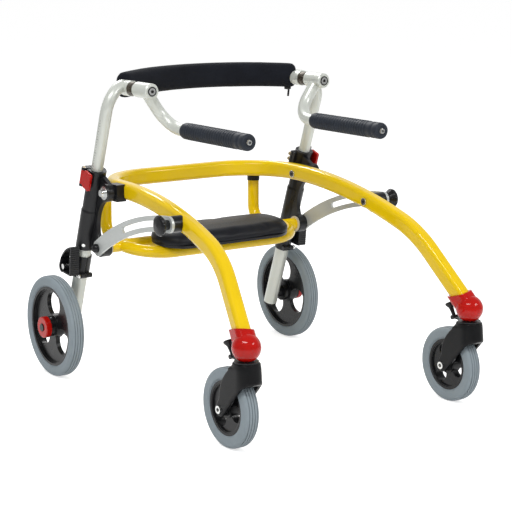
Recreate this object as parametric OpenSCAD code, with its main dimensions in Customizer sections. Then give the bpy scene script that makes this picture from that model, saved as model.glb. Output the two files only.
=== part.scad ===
// Posterior walker: a folding reverse walker with a flip-up seat.
// The walking direction is -Y, the user's left is +X and +Z is up.
// The origin lies on the floor below the middle of the walker.

/* [Frame tube] */
// Width of the tube section
tube_w = 26; // [24:1:28]
// Height of the tube section
tube_h = 32; // [28:1:34]
// Corner radius of the tube section
tube_corner = 9; // [6:0.5:11]
// Height of the rear crossbar's centreline
bar_z = 383.5; // [370:0.5:400]
// How far the rear crossbar lies ahead of the rear axle
bar_ahead = 18; // [10:1:30]
// Spacing of the two arms where they leave the corner bends
arm_spacing = 406; // [390:1:420]
// Centreline radius of the corner bends
corner_r = 118; // [100:1:130]
// Outward tilt of the plane that each arm bends in
arm_tilt = 12.6; // [8:0.1:14]
// Centreline radius of the arm's long sweep
sweep_r = 945; // [880:5:1000]
// Angle of the arm's long sweep
sweep_angle = 20; // [18:0.5:22]
// Centreline radius of the arm's lower bend
knee_r = 189; // [160:1:220]
// Angle of the arm's lower bend
knee_angle = 27.8; // [25:0.1:30]
// Straight run from the lower bend to the ball's centre
shin_l = 129.5; // [115:0.5:145]

/* [Front casters] */
// Radius of the caster ball
ball_r = 25; // [22:0.5:28]
// Width of the collar on the arm's end
collar_w = 35; // [33:0.5:38]
// Reach of the collar from the ball's centre
collar_reach = 46; // [42:0.5:52]
// Radius of the front wheel
front_r = 70; // [64:1:74]
// Width of the front tyre
front_w = 28; // [24:1:32]
// Outer radius of the front rim
front_rim_r = 48; // [44:1:50]
// Distance that the front wheel trails behind the swivel
trail = 48; // [40:1:54]
// Thickness of each fork blade
blade_t = 8; // [6:0.5:10]
// Diameter of the fork's stem
stem_d = 12; // [10:1:16]
// Diameter of the front axle
front_axle_d = 8; // [6:1:10]

/* [Rear legs] */
// Distance from the middle of the walker to the rear axle
rear_axle_y = 274.8; // [270:0.1:280]
// How far each leg stands outside the arm beside it
leg_gap = 40; // [35:1:43]
// Forward lean of the rear legs
leg_lean = 19.4; // [17:0.1:21]
// Diameter of the rear leg tube
leg_d = 28; // [27:0.5:29]
// Run of the leg below the axle
leg_below = 22; // [18:1:30]

/* [Rear wheels] */
// Spacing of the rear wheels
rear_track = 564; // [558:1:600]
// Radius of the rear wheel
rear_r = 100; // [92:1:104]
// Width of the rear tyre
rear_w = 28; // [24:1:32]
// Outer radius of the rear rim
rear_rim_r = 79; // [74:1:82]
// Diameter of the rear axle
rear_axle_d = 10; // [8:1:12]
// Diameter of the hub cap
hub_cap_d = 42; // [36:1:46]
// Thickness of the hub cap
hub_cap_t = 11; // [8:1:14]

/* [Brackets and links] */
// Distance of the fold pivot ahead of the rear axle
pivot_ahead = 146; // [140:1:152]
// Height of the fold pivot
pivot_z = 381; // [376:0.5:386]
// Distance of the link and seat pivot ahead of the rear axle
lower_ahead = 112; // [106:1:116]
// Height of the link and seat pivot
lower_z = 269.5; // [264:0.5:274]
// Outer diameter of the bracket's lower sleeve
sleeve_d = 36; // [35:0.5:38]
// Thickness of the bracket's web
web_t = 8; // [6:0.5:10]
// Thickness of the slotted link
link_t = 5; // [4:0.5:6]
// Width of the slotted link
link_w = 30; // [27:0.5:33]
// Centreline radius of the slotted link
link_r = 549; // [500:5:600]
// Width of the slot
slot_w = 11.5; // [10:0.5:13]
// Length of the slot along its centreline
slot_l = 162; // [140:1:170]
// Angle along the arm's sweep at which the link pin sits
pin_angle = 14.5; // [13:0.1:16]
// Diameter of the knob
knob_d = 38; // [34:1:42]

/* [Handlebar] */
// Diameter of the handlebar tube
post_d = 23; // [21:0.5:24]
// Height of the backrest bar
rest_z = 580; // [560:1:620]
// Centreline radius of the handlebar's bends
rest_bend_r = 42; // [36:1:48]
// Angle of the bow at each end of the backrest bar
bow_angle = 32.7; // [28:0.1:36]
// Height of the backrest pad at its middle
pad_h = 53; // [46:1:58]
// Thickness of the backrest pad at its middle
pad_t = 36; // [32:1:40]
// Diameter of the handle joints
joint_d = 29; // [26:0.5:32]
// Spacing of the handle joints
joint_spacing = 392; // [380:1:400]
// Height of the handle joints below the backrest bar
joint_drop = 4; // [0:0.5:8]
// Spacing of the two grips
grip_spacing = 294; // [270:1:310]
// Drop from the handle joint to the grip
grip_drop = 71.5; // [64:0.5:80]
// Length of a grip
grip_l = 208; // [190:1:220]
// Diameter of a grip
grip_d = 30.5; // [28:0.5:34]

/* [Seat] */
// Diameter of the seat tube
seat_tube_d = 24; // [22:0.5:25]
// Distance of the seat loop's ends from the bush flanges
loop_inset = 29.2; // [22:0.2:40]
// Corner radius of the seat loop
loop_r = 75; // [65:1:85]
// Downward slope of the seat
seat_slope = 6; // [0:0.5:8]
// Spacing of the two seat posts
seat_post_spacing = 353; // [340:1:360]
// Length of the cushion
cushion_l = 314; // [290:1:330]
// Depth of the cushion
cushion_w = 122; // [110:1:130]
// Height of the cushion above its board
cushion_h = 22; // [18:1:28]
// Thickness of the seat board
board_t = 5; // [4:0.5:8]

/* [Fits] */
// Radial clearance of a running fit
run_fit = 0.05; // [0.03:0.01:0.1]
// Gap between faces that slide past each other
face_gap = 0.3; // [0.2:0.05:0.5]

/* [Hidden] */
$fn = 64;
black = "#1d1e20";
yellow = "#e6bf0e";
red = "#c4201d";
tyre_grey = "#8f9599";
silver = "#c6c8c4";
white_metal = "#dcddd7";
cream = "#e4dcc4";
brass = "#b79a55";

left = 1;
right = -1;
fwd = [0, -1, 0];
up = [0, 0, 1];
out = [1, 0, 0];
// Small overlap that makes a cut pass right through
cut = 1;
// Least wall left in a moulding
wall = 3;
// Hairline between the runs of a bent tube, and the half length of the core that bridges it
hairline = 0.05;
core_half = 3;
function seam(r) = hairline / r * 180 / PI;

// Frame tube: the path of the left half, from the crossbar to the ball
bar_y = rear_axle_y - bar_ahead;
arm_x = arm_spacing / 2;
bar_half = arm_x - corner_r;
corner_y = bar_y - corner_r;
arm_down = [sin(arm_tilt), 0, -cos(arm_tilt)];
arm_start = [arm_x, corner_y, bar_z];
knee_dir = cos(sweep_angle) * fwd + sin(sweep_angle) * arm_down;
knee_in = cos(sweep_angle) * arm_down - sin(sweep_angle) * fwd;
knee_start = arm_point(sweep_angle);
shin_dir = cos(knee_angle) * knee_dir + sin(knee_angle) * knee_in;
shin_in = cos(knee_angle) * knee_in - sin(knee_angle) * knee_dir;
shin_start = knee_start + knee_r * sin(knee_angle) * knee_dir + knee_r * (1 - cos(knee_angle)) * knee_in;
ball = shin_start + shin_l * shin_dir;
tube_end_gap = 20;

// Casters
ball_flat = ball_r - 2.5;
ball_base_z = ball[2] - ball_flat;
ring_t = 2.5;
crown_z = ball_base_z - ring_t - face_gap;
front_axle_z = front_r;
fork_half = front_w / 2 + 1.5 + blade_t;
bearing_d = stem_d + 12;
stem_l = 24;

// Legs: the leg frame has its origin on the axle line and its z axis up the leg
leg_x = arm_x + leg_gap;
leg_up = [0, -sin(leg_lean), cos(leg_lean)];
function leg_pos(ahead, z) = let(y = -ahead, h = z - rear_r)
    [y * cos(leg_lean) + h * sin(leg_lean), -y * sin(leg_lean) + h * cos(leg_lean)];
pivot_at = leg_pos(pivot_ahead, pivot_z);
lower_at = leg_pos(lower_ahead, lower_z);
pivot_y = rear_axle_y - pivot_ahead;
lower_y = rear_axle_y - lower_ahead;
sleeve_low = lower_at[1] - 23;
sleeve_step = sleeve_low + 80;
collar_low = sleeve_step + 53;
collar_top = collar_low + 34;
collar_r = post_d / 2 + 5.5;
leg_top = collar_low - 3;
leg_bore = post_d + 2 * run_fit;
snug = leg_d + 2 * run_fit;

// Link plane and the pieces stacked on it
pin_at = arm_point(pin_angle);
link_in = leg_x - 2.5;
web_out = link_in - face_gap;
web_in = web_out - web_t;
link_out = link_in + link_t;
lug_out = leg_x + 3;
boss_in = web_in - 10;
pivot_r = 17;
boss_r = 17.5;
bolt_d = 10;
washer_t = 2;
washer_d = 26;
nut_t = 7;
pin_d = 10;
pin_cap_r = 9;
saddle_d = 30;
bush_wall = 2;
bush_flange_t = 3;
bush_flange_d = seat_tube_d + 8;
seat_end_x = web_in - 1;

// Slotted link: the arc through the lower pivot and the pin
link_span = [pin_at[1] - lower_y, pin_at[2] - lower_z];
link_half = norm(link_span) / 2;
link_side = [link_span[1], -link_span[0]] / norm(link_span);
link_mid = [lower_y, lower_z] + link_span / 2;
link_centre = link_mid - link_side * sqrt(link_r * link_r - link_half * link_half);
link_a0 = atan2(pin_at[2] - link_centre[1], pin_at[1] - link_centre[0]);
link_a1 = atan2(lower_z - link_centre[1], lower_y - link_centre[0]);
slot_a = slot_l / link_r * 180 / PI;

// Rear wheel stack
wheel_x = rear_track / 2;
hub_proud = 3.5;
hub_half = rear_w / 2 + hub_proud;
hub_in = wheel_x - hub_half;
hub_out = wheel_x + hub_half;
leg_side = leg_x + leg_d / 2;

// Brake clamp, in the leg frame
clamp_low = 112;
clamp_h = 45;
clamp_d = leg_d + 5;
barrel_at = [-clamp_d / 2 - 2, clamp_low + 7.5];
barrel_d = 10;
barrel_in = 13;
barrel_out = 11;
screw_d = 6;
screw_ball_r = 4.5;

// Brake cam, about its pivot, which is given in the leg frame
cam_pivot = [10, clamp_low + 16.4];
cam_turn = -13.4;
cam_front = -34.7;
cam_low = -10;
cam_back_at = [-53, -14.4];
cam_back_r = 66;
cam_heel_r = 11;
cam_hole_at = [-0.5, 17];
cam_w = 19;
cam_in = leg_x + sleeve_d / 2 + 1.5;
cam_wall = 3;
cam_pin_d = 6;
cam_lug_d = 18;
cam_lug_out = cam_in - leg_x - face_gap;

// Screw that holds the leg in its sleeve
sleeve_screw_z = sleeve_low + 12;
sleeve_screw_turn = -50;
sleeve_screw_d = 4;

// Red clamp lever, in the leg frame
lever_pin = [collar_r + 4, 12];
lever_pin_d = 5;
lever_boss_r = 5.2;
lever_in = collar_r + 3;
lever_t = 5;
lever_reach = 20;
ear_t = 5;
ear_r = 5.2;

// Handlebar: the path of the left half
post_corner = [leg_x, rear_axle_y - (rest_z - rear_r) * tan(leg_lean), rest_z];
bow_dir = [-cos(bow_angle), sin(bow_angle), 0];
bend_angle = acos(leg_up * bow_dir);
bend_run = rest_bend_r * tan(bend_angle / 2);
bend_start = post_corner - bend_run * leg_up;
bend_end = post_corner + bend_run * bow_dir;
bend_in = unit(bow_dir - (bow_dir * leg_up) * leg_up);
bow_r = bend_end[0] / sin(bow_angle);
bow_centre_y = bend_end[1] - bow_r * cos(bow_angle);
post_low = 190;
post_span = norm(bend_start - [leg_x, rear_axle_y, rear_r]) - post_low;

// Handle joints: the stack along the joint axis, from the bend to the front
joint_x = joint_spacing / 2;
joint_z = rest_z - joint_drop;
socket_rear = bend_end[1] - 2;
socket_front = socket_rear - 26;
ring_l = 21;
ring_front = socket_front - ring_l;
hub_rear = ring_front - face_gap;
hub_l = 50;
hub_front = hub_rear - hub_l;
spindle_d = 12;
stem_y = hub_rear - 26;
grip_x = grip_spacing / 2;
grip_z = joint_z - grip_drop;
stem_dir = unit([grip_x - joint_x, 0, grip_z - joint_z]);
stem_span = norm([grip_x - joint_x, 0, grip_z - joint_z]);
grip_bend_r = 46;
grip_gap = 12;
grip_rear = stem_y - grip_bend_r - grip_gap;
grip_end_t = 5;

// Seat: posts rest against the back of the corner bends
post_x = seat_post_spacing / 2;
post_reach = corner_r + tube_w / 2 + seat_tube_d / 2 + 1 + face_gap;
post_y = corner_y + sqrt(post_reach * post_reach - (post_x - bar_half) * (post_x - bar_half));
post_bend_r = 34;
post_top_z = bar_z - tube_h / 2 - 13;
cap_top_z = bar_z + 2;
loop_x = boss_in - bush_flange_t - loop_inset;
cushion_ahead = 54;

function unit(v) = v / norm(v);
function arm_point(a) = arm_start + sweep_r * sin(a) * fwd + sweep_r * (1 - cos(a)) * arm_down;

// Children with their axes along ax, ay and az at point p
module oriented(p, ax, ay, az) {
    multmatrix([
        [ax[0], ay[0], az[0], p[0]],
        [ax[1], ay[1], az[1], p[1]],
        [ax[2], ay[2], az[2], p[2]],
        [0, 0, 0, 1]]) children();
}

// Outline swept straight from p along d, with its x axis along side
module run(p, d, l, side) {
    oriented(p + l * d, side, cross(side, d), -d) linear_extrude(l) children();
}

// Outline swept round an arc that leaves p along d and turns towards n
module turn(p, d, n, r, a) {
    oriented(p + r * n, -n, d, cross(-n, d)) rotate_extrude(angle = a) translate([r, 0]) children();
}

// Short inner core across the hairline at p
module core(p, d, side) {
    run(p - core_half * d, d, 2 * core_half, side) children();
}

// Children on the left, or mirrored to the right
module on(side) {
    if (side == left) children();
    else mirror([1, 0, 0]) children();
}

// Both sides
module pair() {
    on(left) children();
    on(right) children();
}

// Cylinder along +X
module rod(x0, x1, d) {
    translate([x0, 0, 0]) rotate([0, 90, 0]) cylinder(h = x1 - x0, d = d);
}

// Cylinder along +X at a place in the side view
module rod_at(at, x0, x1, d) {
    translate([0, at[0], at[1]]) rod(x0, x1, d);
}

// Side-view outline given a thickness along X
module plate(x0, x1) {
    translate([x0, 0, 0]) rotate([90, 0, 90]) linear_extrude(x1 - x0) children();
}

// Rectangle about its middle, with round corners
module soft_box(w, h, r) {
    square([w, h - 2 * r], center = true);
    square([w - 2 * r, h], center = true);
    for (x = [-1, 1], y = [-1, 1]) translate([x * (w / 2 - r), y * (h / 2 - r)]) circle(r);
}

// Frame tube's section in a bend of the plan, and in a bend of the arm, wider by a given amount
module plan_section(more) {
    soft_box(tube_w + more, tube_h + more, tube_corner);
}
module arm_section(more) {
    rotate(arm_tilt) soft_box(tube_h + more, tube_w + more, tube_corner);
}

// Rectangle from its lower corner, with round corners
module soft_corners(w, h, r) {
    translate([0, r]) square([w, h - 2 * r]);
    translate([r, 0]) square([w - 2 * r, h]);
    for (x = [r, w - r], y = [r, h - r]) translate([x, y]) circle(r);
}

// Left leg's frame, at the leg's axis
module leg_frame() {
    translate([leg_x, rear_axle_y, rear_r]) rotate([leg_lean, 0, 0]) children();
}

// Left leg's frame, with X measured from the middle of the walker
module leg_side_frame() {
    translate([0, rear_axle_y, rear_r]) rotate([leg_lean, 0, 0]) children();
}

// Left rear wheel's frame, with the wheel's axis along z
module rear_wheel_frame() {
    translate([wheel_x, rear_axle_y, rear_r]) rotate([0, 90, 0]) children();
}

// Left front wheel's frame, with the wheel's axis along z
module front_wheel_frame() {
    translate([ball[0], ball[1] + trail, front_axle_z]) rotate([0, 90, 0]) children();
}

// Left arm of the frame tube from the crossbar's end, with its section made wider by a given amount
module tube_arm(more) {
    turn([bar_half, bar_y, bar_z], out, fwd, corner_r, 90 - seam(corner_r)) plan_section(more);
    turn(arm_start, fwd, arm_down, sweep_r, sweep_angle - seam(sweep_r)) arm_section(more);
    turn(knee_start, knee_dir, knee_in, knee_r, knee_angle - seam(knee_r)) arm_section(more);
    run(shin_start, shin_dir, shin_l - tube_end_gap, -shin_in) arm_section(more);
}

// Cores that bridge the hairlines between the runs of the frame tube
module tube_cores() {
    core([bar_half, bar_y, bar_z], out, -fwd) plan_section(-1);
    core(arm_start, fwd, -arm_down) arm_section(-1);
    core(knee_start, knee_dir, -knee_in) arm_section(-1);
    core(shin_start, shin_dir, -shin_in) arm_section(-1);
}

module frame_tube() color(yellow) {
    difference() {
        union() {
            run([-bar_half + hairline, bar_y, bar_z], out, 2 * (bar_half - hairline), -fwd) plan_section(0);
            pair() {
                tube_arm(0);
                tube_cores();
            }
        }
        pair() {
            rod_at([pivot_y, pivot_z], 0, arm_x + tube_w, bolt_d + 2 * run_fit);
            rod_at([pin_at[1], pin_at[2]], 0, pin_at[0] + tube_w, pin_d + 2 * run_fit);
        }
    }
}

// Red ball with the slanted collar that takes the arm's end
collar_slant = 27;
module caster_ball(side) color(red) on(side) {
    collar_h = collar_w + tube_h - tube_w;
    collar_lip = ball - (collar_reach - 1) * shin_dir + collar_h / 2 * shin_in;
    difference() {
        union() {
            translate(ball) sphere(ball_r);
            run(ball - collar_reach * shin_dir, shin_dir, collar_reach, -shin_in)
                rotate(arm_tilt) soft_box(collar_h, collar_w, tube_corner + 3);
        }
        run(ball - (collar_reach + cut) * shin_dir, shin_dir, collar_reach + cut - tube_end_gap, -shin_in)
            arm_section(2 * run_fit);
        oriented(collar_lip, shin_in, cross(shin_dir, shin_in), -shin_dir) rotate([0, -collar_slant, 0])
            translate([-4 * ball_r, -2 * ball_r, 0]) cube([8 * ball_r, 4 * ball_r, 3 * ball_r]);
        translate([ball[0] - 2 * ball_r, ball[1] - 2 * ball_r, ball_base_z - 2 * ball_r])
            cube([4 * ball_r, 4 * ball_r, 2 * ball_r]);
        translate([ball[0], ball[1], ball_base_z - cut])
            cylinder(h = stem_l + cut, d = bearing_d + 2 * run_fit);
    }
}
module caster_ball_left() { caster_ball(left); }
module caster_ball_right() { caster_ball(right); }

// Flanged bearing of the swivel, with the ears that hold the swivel lock
lock_ahead = 40;
lock_z = ball_base_z - ring_t / 2;
lock_pin_d = 4;
lock_half = 4;
module swivel_bearings() color(black) pair() {
    translate([ball[0], ball[1], 0]) difference() {
        union() {
            translate([0, 0, ball_base_z - ring_t]) cylinder(h = ring_t, d = 2 * ball_r - 8);
            translate([0, 0, ball_base_z - ring_t]) cylinder(h = stem_l, d = bearing_d);
            translate([-lock_half - wall, ball_r - 10, ball_base_z - ring_t])
                cube([2 * (lock_half + wall), lock_ahead - ball_r + 10, ring_t]);
            rod_at([lock_ahead, lock_z], -lock_half - wall, lock_half + wall, 8);
        }
        translate([0, 0, ball_base_z - ring_t - cut])
            cylinder(h = stem_l + 2 * cut, d = stem_d + 2 * run_fit);
        translate([-lock_half - face_gap, lock_ahead - 6, lock_z - 8])
            cube([2 * (lock_half + face_gap), 16, 16]);
        rod_at([lock_ahead, lock_z], -lock_half - wall - cut, lock_half + wall + cut,
            lock_pin_d + 2 * run_fit);
    }
}

// Swivel lock: a flared thumb peg on a cross pin
lock_l = 27;
lock_tilt = 32;
module swivel_lock(side) color(black) on(side) {
    translate([ball[0], ball[1] + lock_ahead, lock_z]) {
        rod(-lock_half - wall, lock_half + wall, lock_pin_d);
        rotate([-lock_tilt, 0, 0]) {
            rotate_extrude() polygon([[0, -3], [lock_half - 0.5, -3], [lock_half - 0.5, 9],
                [4.6, lock_l - 8], [8.5, lock_l - 2], [9, lock_l], [8.5, lock_l + 1.5], [0, lock_l + 2.5]]);
        }
    }
}
module swivel_lock_left() { swivel_lock(left); }
module swivel_lock_right() { swivel_lock(right); }

// Corners of the band that joins two circles along their outer tangents
function tangent_band(p, r, q, s) = let(l = norm(q - p), u = (q - p) / l, n = [-u[1], u[0]],
    c = (r - s) / l, k = sqrt(1 - c * c))
    [p + r * (c * u + k * n), q + s * (c * u + k * n), q + s * (c * u - k * n), p + r * (c * u - k * n)];

// Trailing fork: a domed hood with a slanted lower edge, two blades and the stem
hood_r = 27.4;
hood_h = 60;
hood_front_h = 33;
dome_h = 28;
dome_r = 53;
blade_root = [1, -26];
blade_root_r = 20;
blade_end_r = 12.5;
wheel_room = 6.5;
module hood_outline() {
    intersection() {
        translate([0, -hood_h]) square([hood_r, hood_h]);
        union() {
            translate([hood_r - dome_r + 0.3, -dome_h]) circle(dome_r, $fn = 180);
            translate([0, -2 * hood_h]) square([2 * hood_r, 2 * hood_h - dome_h]);
        }
    }
}
module blade_outline(axle) {
    translate(blade_root) circle(blade_root_r + 0.05);
    translate(axle) circle(blade_end_r + 0.05);
    polygon(tangent_band(blade_root, blade_root_r, axle, blade_end_r));
}
module caster_fork(side) color(black) on(side) {
    axle = [trail, front_axle_z - crown_z];
    edge = hood_r + cut;
    deep = 2 * hood_h;
    translate([ball[0], ball[1], crown_z]) difference() {
        union() {
            difference() {
                rotate_extrude() hood_outline();
                plate(-2 * hood_r, 2 * hood_r)
                    polygon([[-edge, -hood_front_h], [edge, -hood_h], [edge, -deep], [-edge, -deep]]);
            }
            for (x = [-fork_half, fork_half - blade_t]) plate(x, x + blade_t) blade_outline(axle);
            cylinder(h = stem_l, d = stem_d);
        }
        rod_at(axle, -front_w / 2 - 1.5, front_w / 2 + 1.5, 2 * (front_r + wheel_room));
        rod_at(axle, -fork_half - cut, fork_half + cut, front_axle_d + 2 * run_fit);
    }
}
module caster_fork_left() { caster_fork(left); }
module caster_fork_right() { caster_fork(right); }

// Front axle bolt with a head at each end
module front_axle(side) color(silver) on(side) {
    head_d = front_axle_d + 6;
    head_t = 3;
    translate([ball[0], ball[1] + trail, front_axle_z]) {
        rod(-fork_half - head_t, fork_half + head_t, front_axle_d);
        rod(fork_half, fork_half + head_t, head_d);
        rod(-fork_half - head_t, -fork_half, head_d);
    }
}
module front_axle_left() { front_axle(left); }
module front_axle_right() { front_axle(right); }

// Tyre with round shoulders and tread grooves, on a rim of radius bead
module tyre(r, w, bead, grooves) {
    shoulder = 8;
    groove_w = 1.6;
    groove_h = 1.6;
    pitch = (w - 2 * shoulder + 4) / (grooves - 1);
    rotate_extrude() difference() {
        union() {
            translate([bead + run_fit, -w / 2 + 3]) square([r - bead - shoulder, w - 6]);
            translate([bead + 5, -w / 2]) square([r - bead - shoulder - 5, w]);
            translate([bead + 5, -w / 2 + shoulder]) square([r - bead - 5, w - 2 * shoulder]);
            for (s = [-1, 1]) translate([r - shoulder, s * (w / 2 - shoulder)]) circle(shoulder);
            for (s = [-1, 1]) translate([bead + 5, s * (w / 2 - 4)]) circle(4);
        }
        for (i = [0:grooves - 1])
            translate([r - groove_h, (i - (grooves - 1) / 2) * pitch - groove_w / 2])
                square([groove_h + cut, groove_w]);
    }
}
module front_tyre(side) color(tyre_grey) on(side) {
    front_wheel_frame() tyre(front_r, front_w, front_rim_r, 4);
}
module front_tyre_left() { front_tyre(left); }
module front_tyre_right() { front_tyre(right); }
module rear_tyre(side) color(tyre_grey) on(side) {
    rear_wheel_frame() tyre(rear_r, rear_w, rear_rim_r, 4);
}
module rear_tyre_left() { rear_tyre(left); }
module rear_tyre_right() { rear_tyre(right); }

// Rim: hub, dished web with round windows, and a bead ring
module rim(r, w, hub_r, hub_half, web_half, windows, window_r, window_at, turned, bore) {
    ring_t = 5;
    difference() {
        rotate_extrude() {
            translate([r - ring_t, -w / 2 + 3]) square([ring_t, w - 6]);
            translate([r - ring_t - 2, -web_half - 3]) square([ring_t, 2 * web_half + 6]);
            translate([hub_r - 1, -web_half]) square([r - ring_t - hub_r + 2, 2 * web_half]);
        }
        for (i = [0:windows - 1]) rotate(i * 360 / windows + 90 - turned) translate([window_at, 0, -w])
            cylinder(h = 2 * w, r = window_r);
    }
    rotate_extrude() {
        translate([bore / 2, -hub_half]) square([hub_r - bore / 2, 2 * hub_half]);
        translate([hub_r - 2, -web_half - 3]) square([6, 2 * web_half + 6]);
    }
}
module front_rim(side) color(black) on(side) {
    front_wheel_frame()
        rim(front_rim_r, front_w, 13, front_w / 2 + 1, 7, 3, 14.5, 27.5, 50, front_axle_d + 2 * run_fit);
}
module front_rim_left() { front_rim(left); }
module front_rim_right() { front_rim(right); }
module rear_rim(side) color(black) on(side) {
    turned = side == left ? 40 : 25;
    rear_wheel_frame()
        rim(rear_rim_r, rear_w, 20, hub_half, 4.5, 3, 26, 45, turned, rear_axle_d + 2 * run_fit);
}
module rear_rim_left() { rear_rim(left); }
module rear_rim_right() { rear_rim(right); }

// Red hub cap on the outer end of the rear hub
cap_hole_d = 15.6;
module hub_cap(side) color(red) on(side) {
    rear_wheel_frame() translate([0, 0, hub_half]) difference() {
        rotate_extrude() {
            square([hub_cap_d / 2, hub_cap_t - 2]);
            translate([0, hub_cap_t - 2 - cut]) square([hub_cap_d / 2 - 2, 2 + cut]);
            translate([hub_cap_d / 2 - 2, hub_cap_t - 2]) circle(2);
        }
        translate([0, 0, -cut]) cylinder(h = hub_cap_t + 2 * cut, d = cap_hole_d);
    }
}
module hub_cap_left() { hub_cap(left); }
module hub_cap_right() { hub_cap(right); }

// Axle bolts that hold the rear wheels on the legs, with their heads inside the tubes
module rear_axles() color(black) pair() {
    rear_wheel_frame() translate([0, 0, -wheel_x]) {
        translate([0, 0, leg_x - 5]) cylinder(h = 10, d = rear_axle_d + 4);
        translate([0, 0, leg_x - 5]) cylinder(h = hub_out - leg_x + 6, d = rear_axle_d);
        translate([0, 0, hub_out + face_gap]) cylinder(h = hub_cap_t + 1.5, d = cap_hole_d - 1);
    }
}

// Spacers between leg and wheel
module axle_spacers() color(black) pair() {
    translate([0, rear_axle_y, rear_r]) difference() {
        rod(leg_x + 2, hub_in - face_gap, 24);
        rod(leg_x, hub_in, rear_axle_d + 2 * run_fit);
        rotate([leg_lean, 0, 0]) translate([leg_x, 0, -leg_d]) cylinder(h = 2 * leg_d, d = snug);
    }
}

// Rear leg tube, open at the top for the sliding post
module rear_leg(side) color(white_metal) on(side) {
    leg_frame() difference() {
        translate([0, 0, -leg_below]) cylinder(h = leg_top + leg_below, d = leg_d);
        translate([0, 0, -leg_below - cut]) cylinder(h = leg_top + leg_below + 2 * cut, d = leg_bore);
        rotate([-leg_lean, 0, 0]) rod(0, leg_d, rear_axle_d + 2 * run_fit);
        rotate(sleeve_screw_turn) rod_at([0, sleeve_screw_z], 0, leg_d, sleeve_screw_d);
    }
}
module rear_leg_left() { rear_leg(left); }
module rear_leg_right() { rear_leg(right); }

// Plugs in the lower ends of the legs
module leg_caps() color(black) pair() {
    leg_frame() translate([0, 0, -leg_below]) {
        translate([0, 0, -4]) cylinder(h = 4, d = leg_d - 0.6);
        cylinder(h = 10, d = leg_bore - 2 * run_fit);
    }
}

// Side outline of the bracket's web, in the leg frame
module web_outline() {
    difference() {
        union() {
            polygon([[0, sleeve_low], [lower_at[0], lower_at[1] - boss_r], [lower_at[0], lower_at[1]],
                pivot_at, [pivot_at[0], pivot_at[1] + pivot_r], [0, collar_top - 4]]);
            translate(pivot_at) circle(pivot_r);
            translate(lower_at) circle(boss_r);
        }
        translate([pivot_at[0] - 42, (pivot_at[1] + lower_at[1]) / 2 - 2]) circle(62);
    }
}

// Turn of the clamp collar, which keeps its seam clear of the ears
seam_turn = -110;
// Moulded bracket: leg sleeve, clamp collar, web, pivot lug and lower boss
module bracket(side) color(black) on(side) {
    difference() {
        union() {
            leg_frame() {
                translate([0, 0, sleeve_low]) cylinder(h = sleeve_step - sleeve_low, d = sleeve_d);
                translate([0, 0, sleeve_step]) cylinder(h = 4, d1 = sleeve_d, d2 = sleeve_d - 3);
                translate([0, 0, sleeve_step]) cylinder(h = collar_low - sleeve_step, d = sleeve_d - 3);
                rotate(seam_turn) {
                    translate([0, 0, collar_low]) cylinder(h = collar_top - collar_low, r = collar_r);
                    translate([0, 0, collar_top - 5]) cylinder(h = 5, r = collar_r + 1.2);
                }
                for (z = [collar_low - ear_t + 1, collar_top - ear_t + 1]) translate([0, 0, z]) {
                    translate([lever_pin[0], lever_pin[1], 0]) cylinder(h = ear_t, r = ear_r);
                    translate([0, lever_pin[1] - ear_r, 0]) cube([lever_pin[0], 2 * ear_r, ear_t]);
                }
                translate([-collar_r - 5, 0, collar_low + 2])
                    cube([12, collar_r - 2, collar_top - collar_low - 8]);
            }
            leg_side_frame() {
                plate(web_in, web_out) web_outline();
                rod_at(pivot_at, web_in, lug_out, 2 * pivot_r);
                rod_at(lower_at, boss_in, web_out, 2 * boss_r);
            }
        }
        leg_frame() {
            translate([0, 0, sleeve_low - cut]) cylinder(h = leg_top - sleeve_low + cut, d = snug);
            translate([0, 0, leg_top - cut]) cylinder(h = collar_top - leg_top + 2 * cut, d = leg_bore);
            translate([lever_pin[0], lever_pin[1], collar_low - ear_t])
                cylinder(h = collar_top - collar_low + 2 * ear_t, d = lever_pin_d + 2 * run_fit);
            translate([-collar_r - 6, collar_r / 2 - 1, collar_low - 2])
                cube([collar_r, 1.6, collar_top - collar_low + 4]);
            rotate(sleeve_screw_turn) rod_at([0, sleeve_screw_z], 0, sleeve_d, sleeve_screw_d);
        }
        leg_side_frame() {
            rod_at(pivot_at, web_in - cut, lug_out + cut, bolt_d + 2 * run_fit);
            rod_at(lower_at, boss_in - cut, seat_end_x + 1.5, seat_tube_d + 2 * bush_wall + 4 * run_fit);
            rod_at(lower_at, boss_in, web_out + cut, pin_d + 2 * run_fit);
            rod_at(lower_at, web_out, leg_x + sleeve_d, link_w + 2);
        }
    }
}
module bracket_left() { bracket(left); }
module bracket_right() { bracket(right); }

// Cream bushes that the seat's crossbar turns in
module seat_bushes() color(cream) pair() {
    translate([0, lower_y, lower_z]) difference() {
        union() {
            rod(boss_in - bush_flange_t, boss_in, bush_flange_d);
            rod(boss_in - bush_flange_t, seat_end_x + 1, seat_tube_d + 2 * bush_wall);
        }
        rod(boss_in - bush_flange_t - cut, web_out, seat_tube_d + 2 * run_fit);
    }
}

// Capped pins that the slotted links swing on
module link_pins() color(black) pair() {
    translate([0, lower_y, lower_z]) {
        rod(web_in + 2, link_out + face_gap + cut, pin_d);
        translate([link_out + face_gap, 0, 0]) rotate([0, 90, 0]) rotate_extrude() intersection() {
            translate([0, 2]) circle(pin_cap_r);
            square([pin_cap_r, 2 + pin_cap_r]);
        }
    }
}

// Hinge pins of the clamp levers and the clamp collar's screw ends
module lever_pins() color(brass) pair() {
    leg_frame() {
        translate([lever_pin[0], lever_pin[1], collar_low - ear_t + 1])
            cylinder(h = collar_top - collar_low + ear_t, d = lever_pin_d);
        for (z = [collar_low + 7, collar_low + 18]) translate([-collar_r - 1, collar_r - 2, z])
            rotate([-90, 0, 0]) cylinder(h = 7, d = 8);
    }
}

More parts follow.
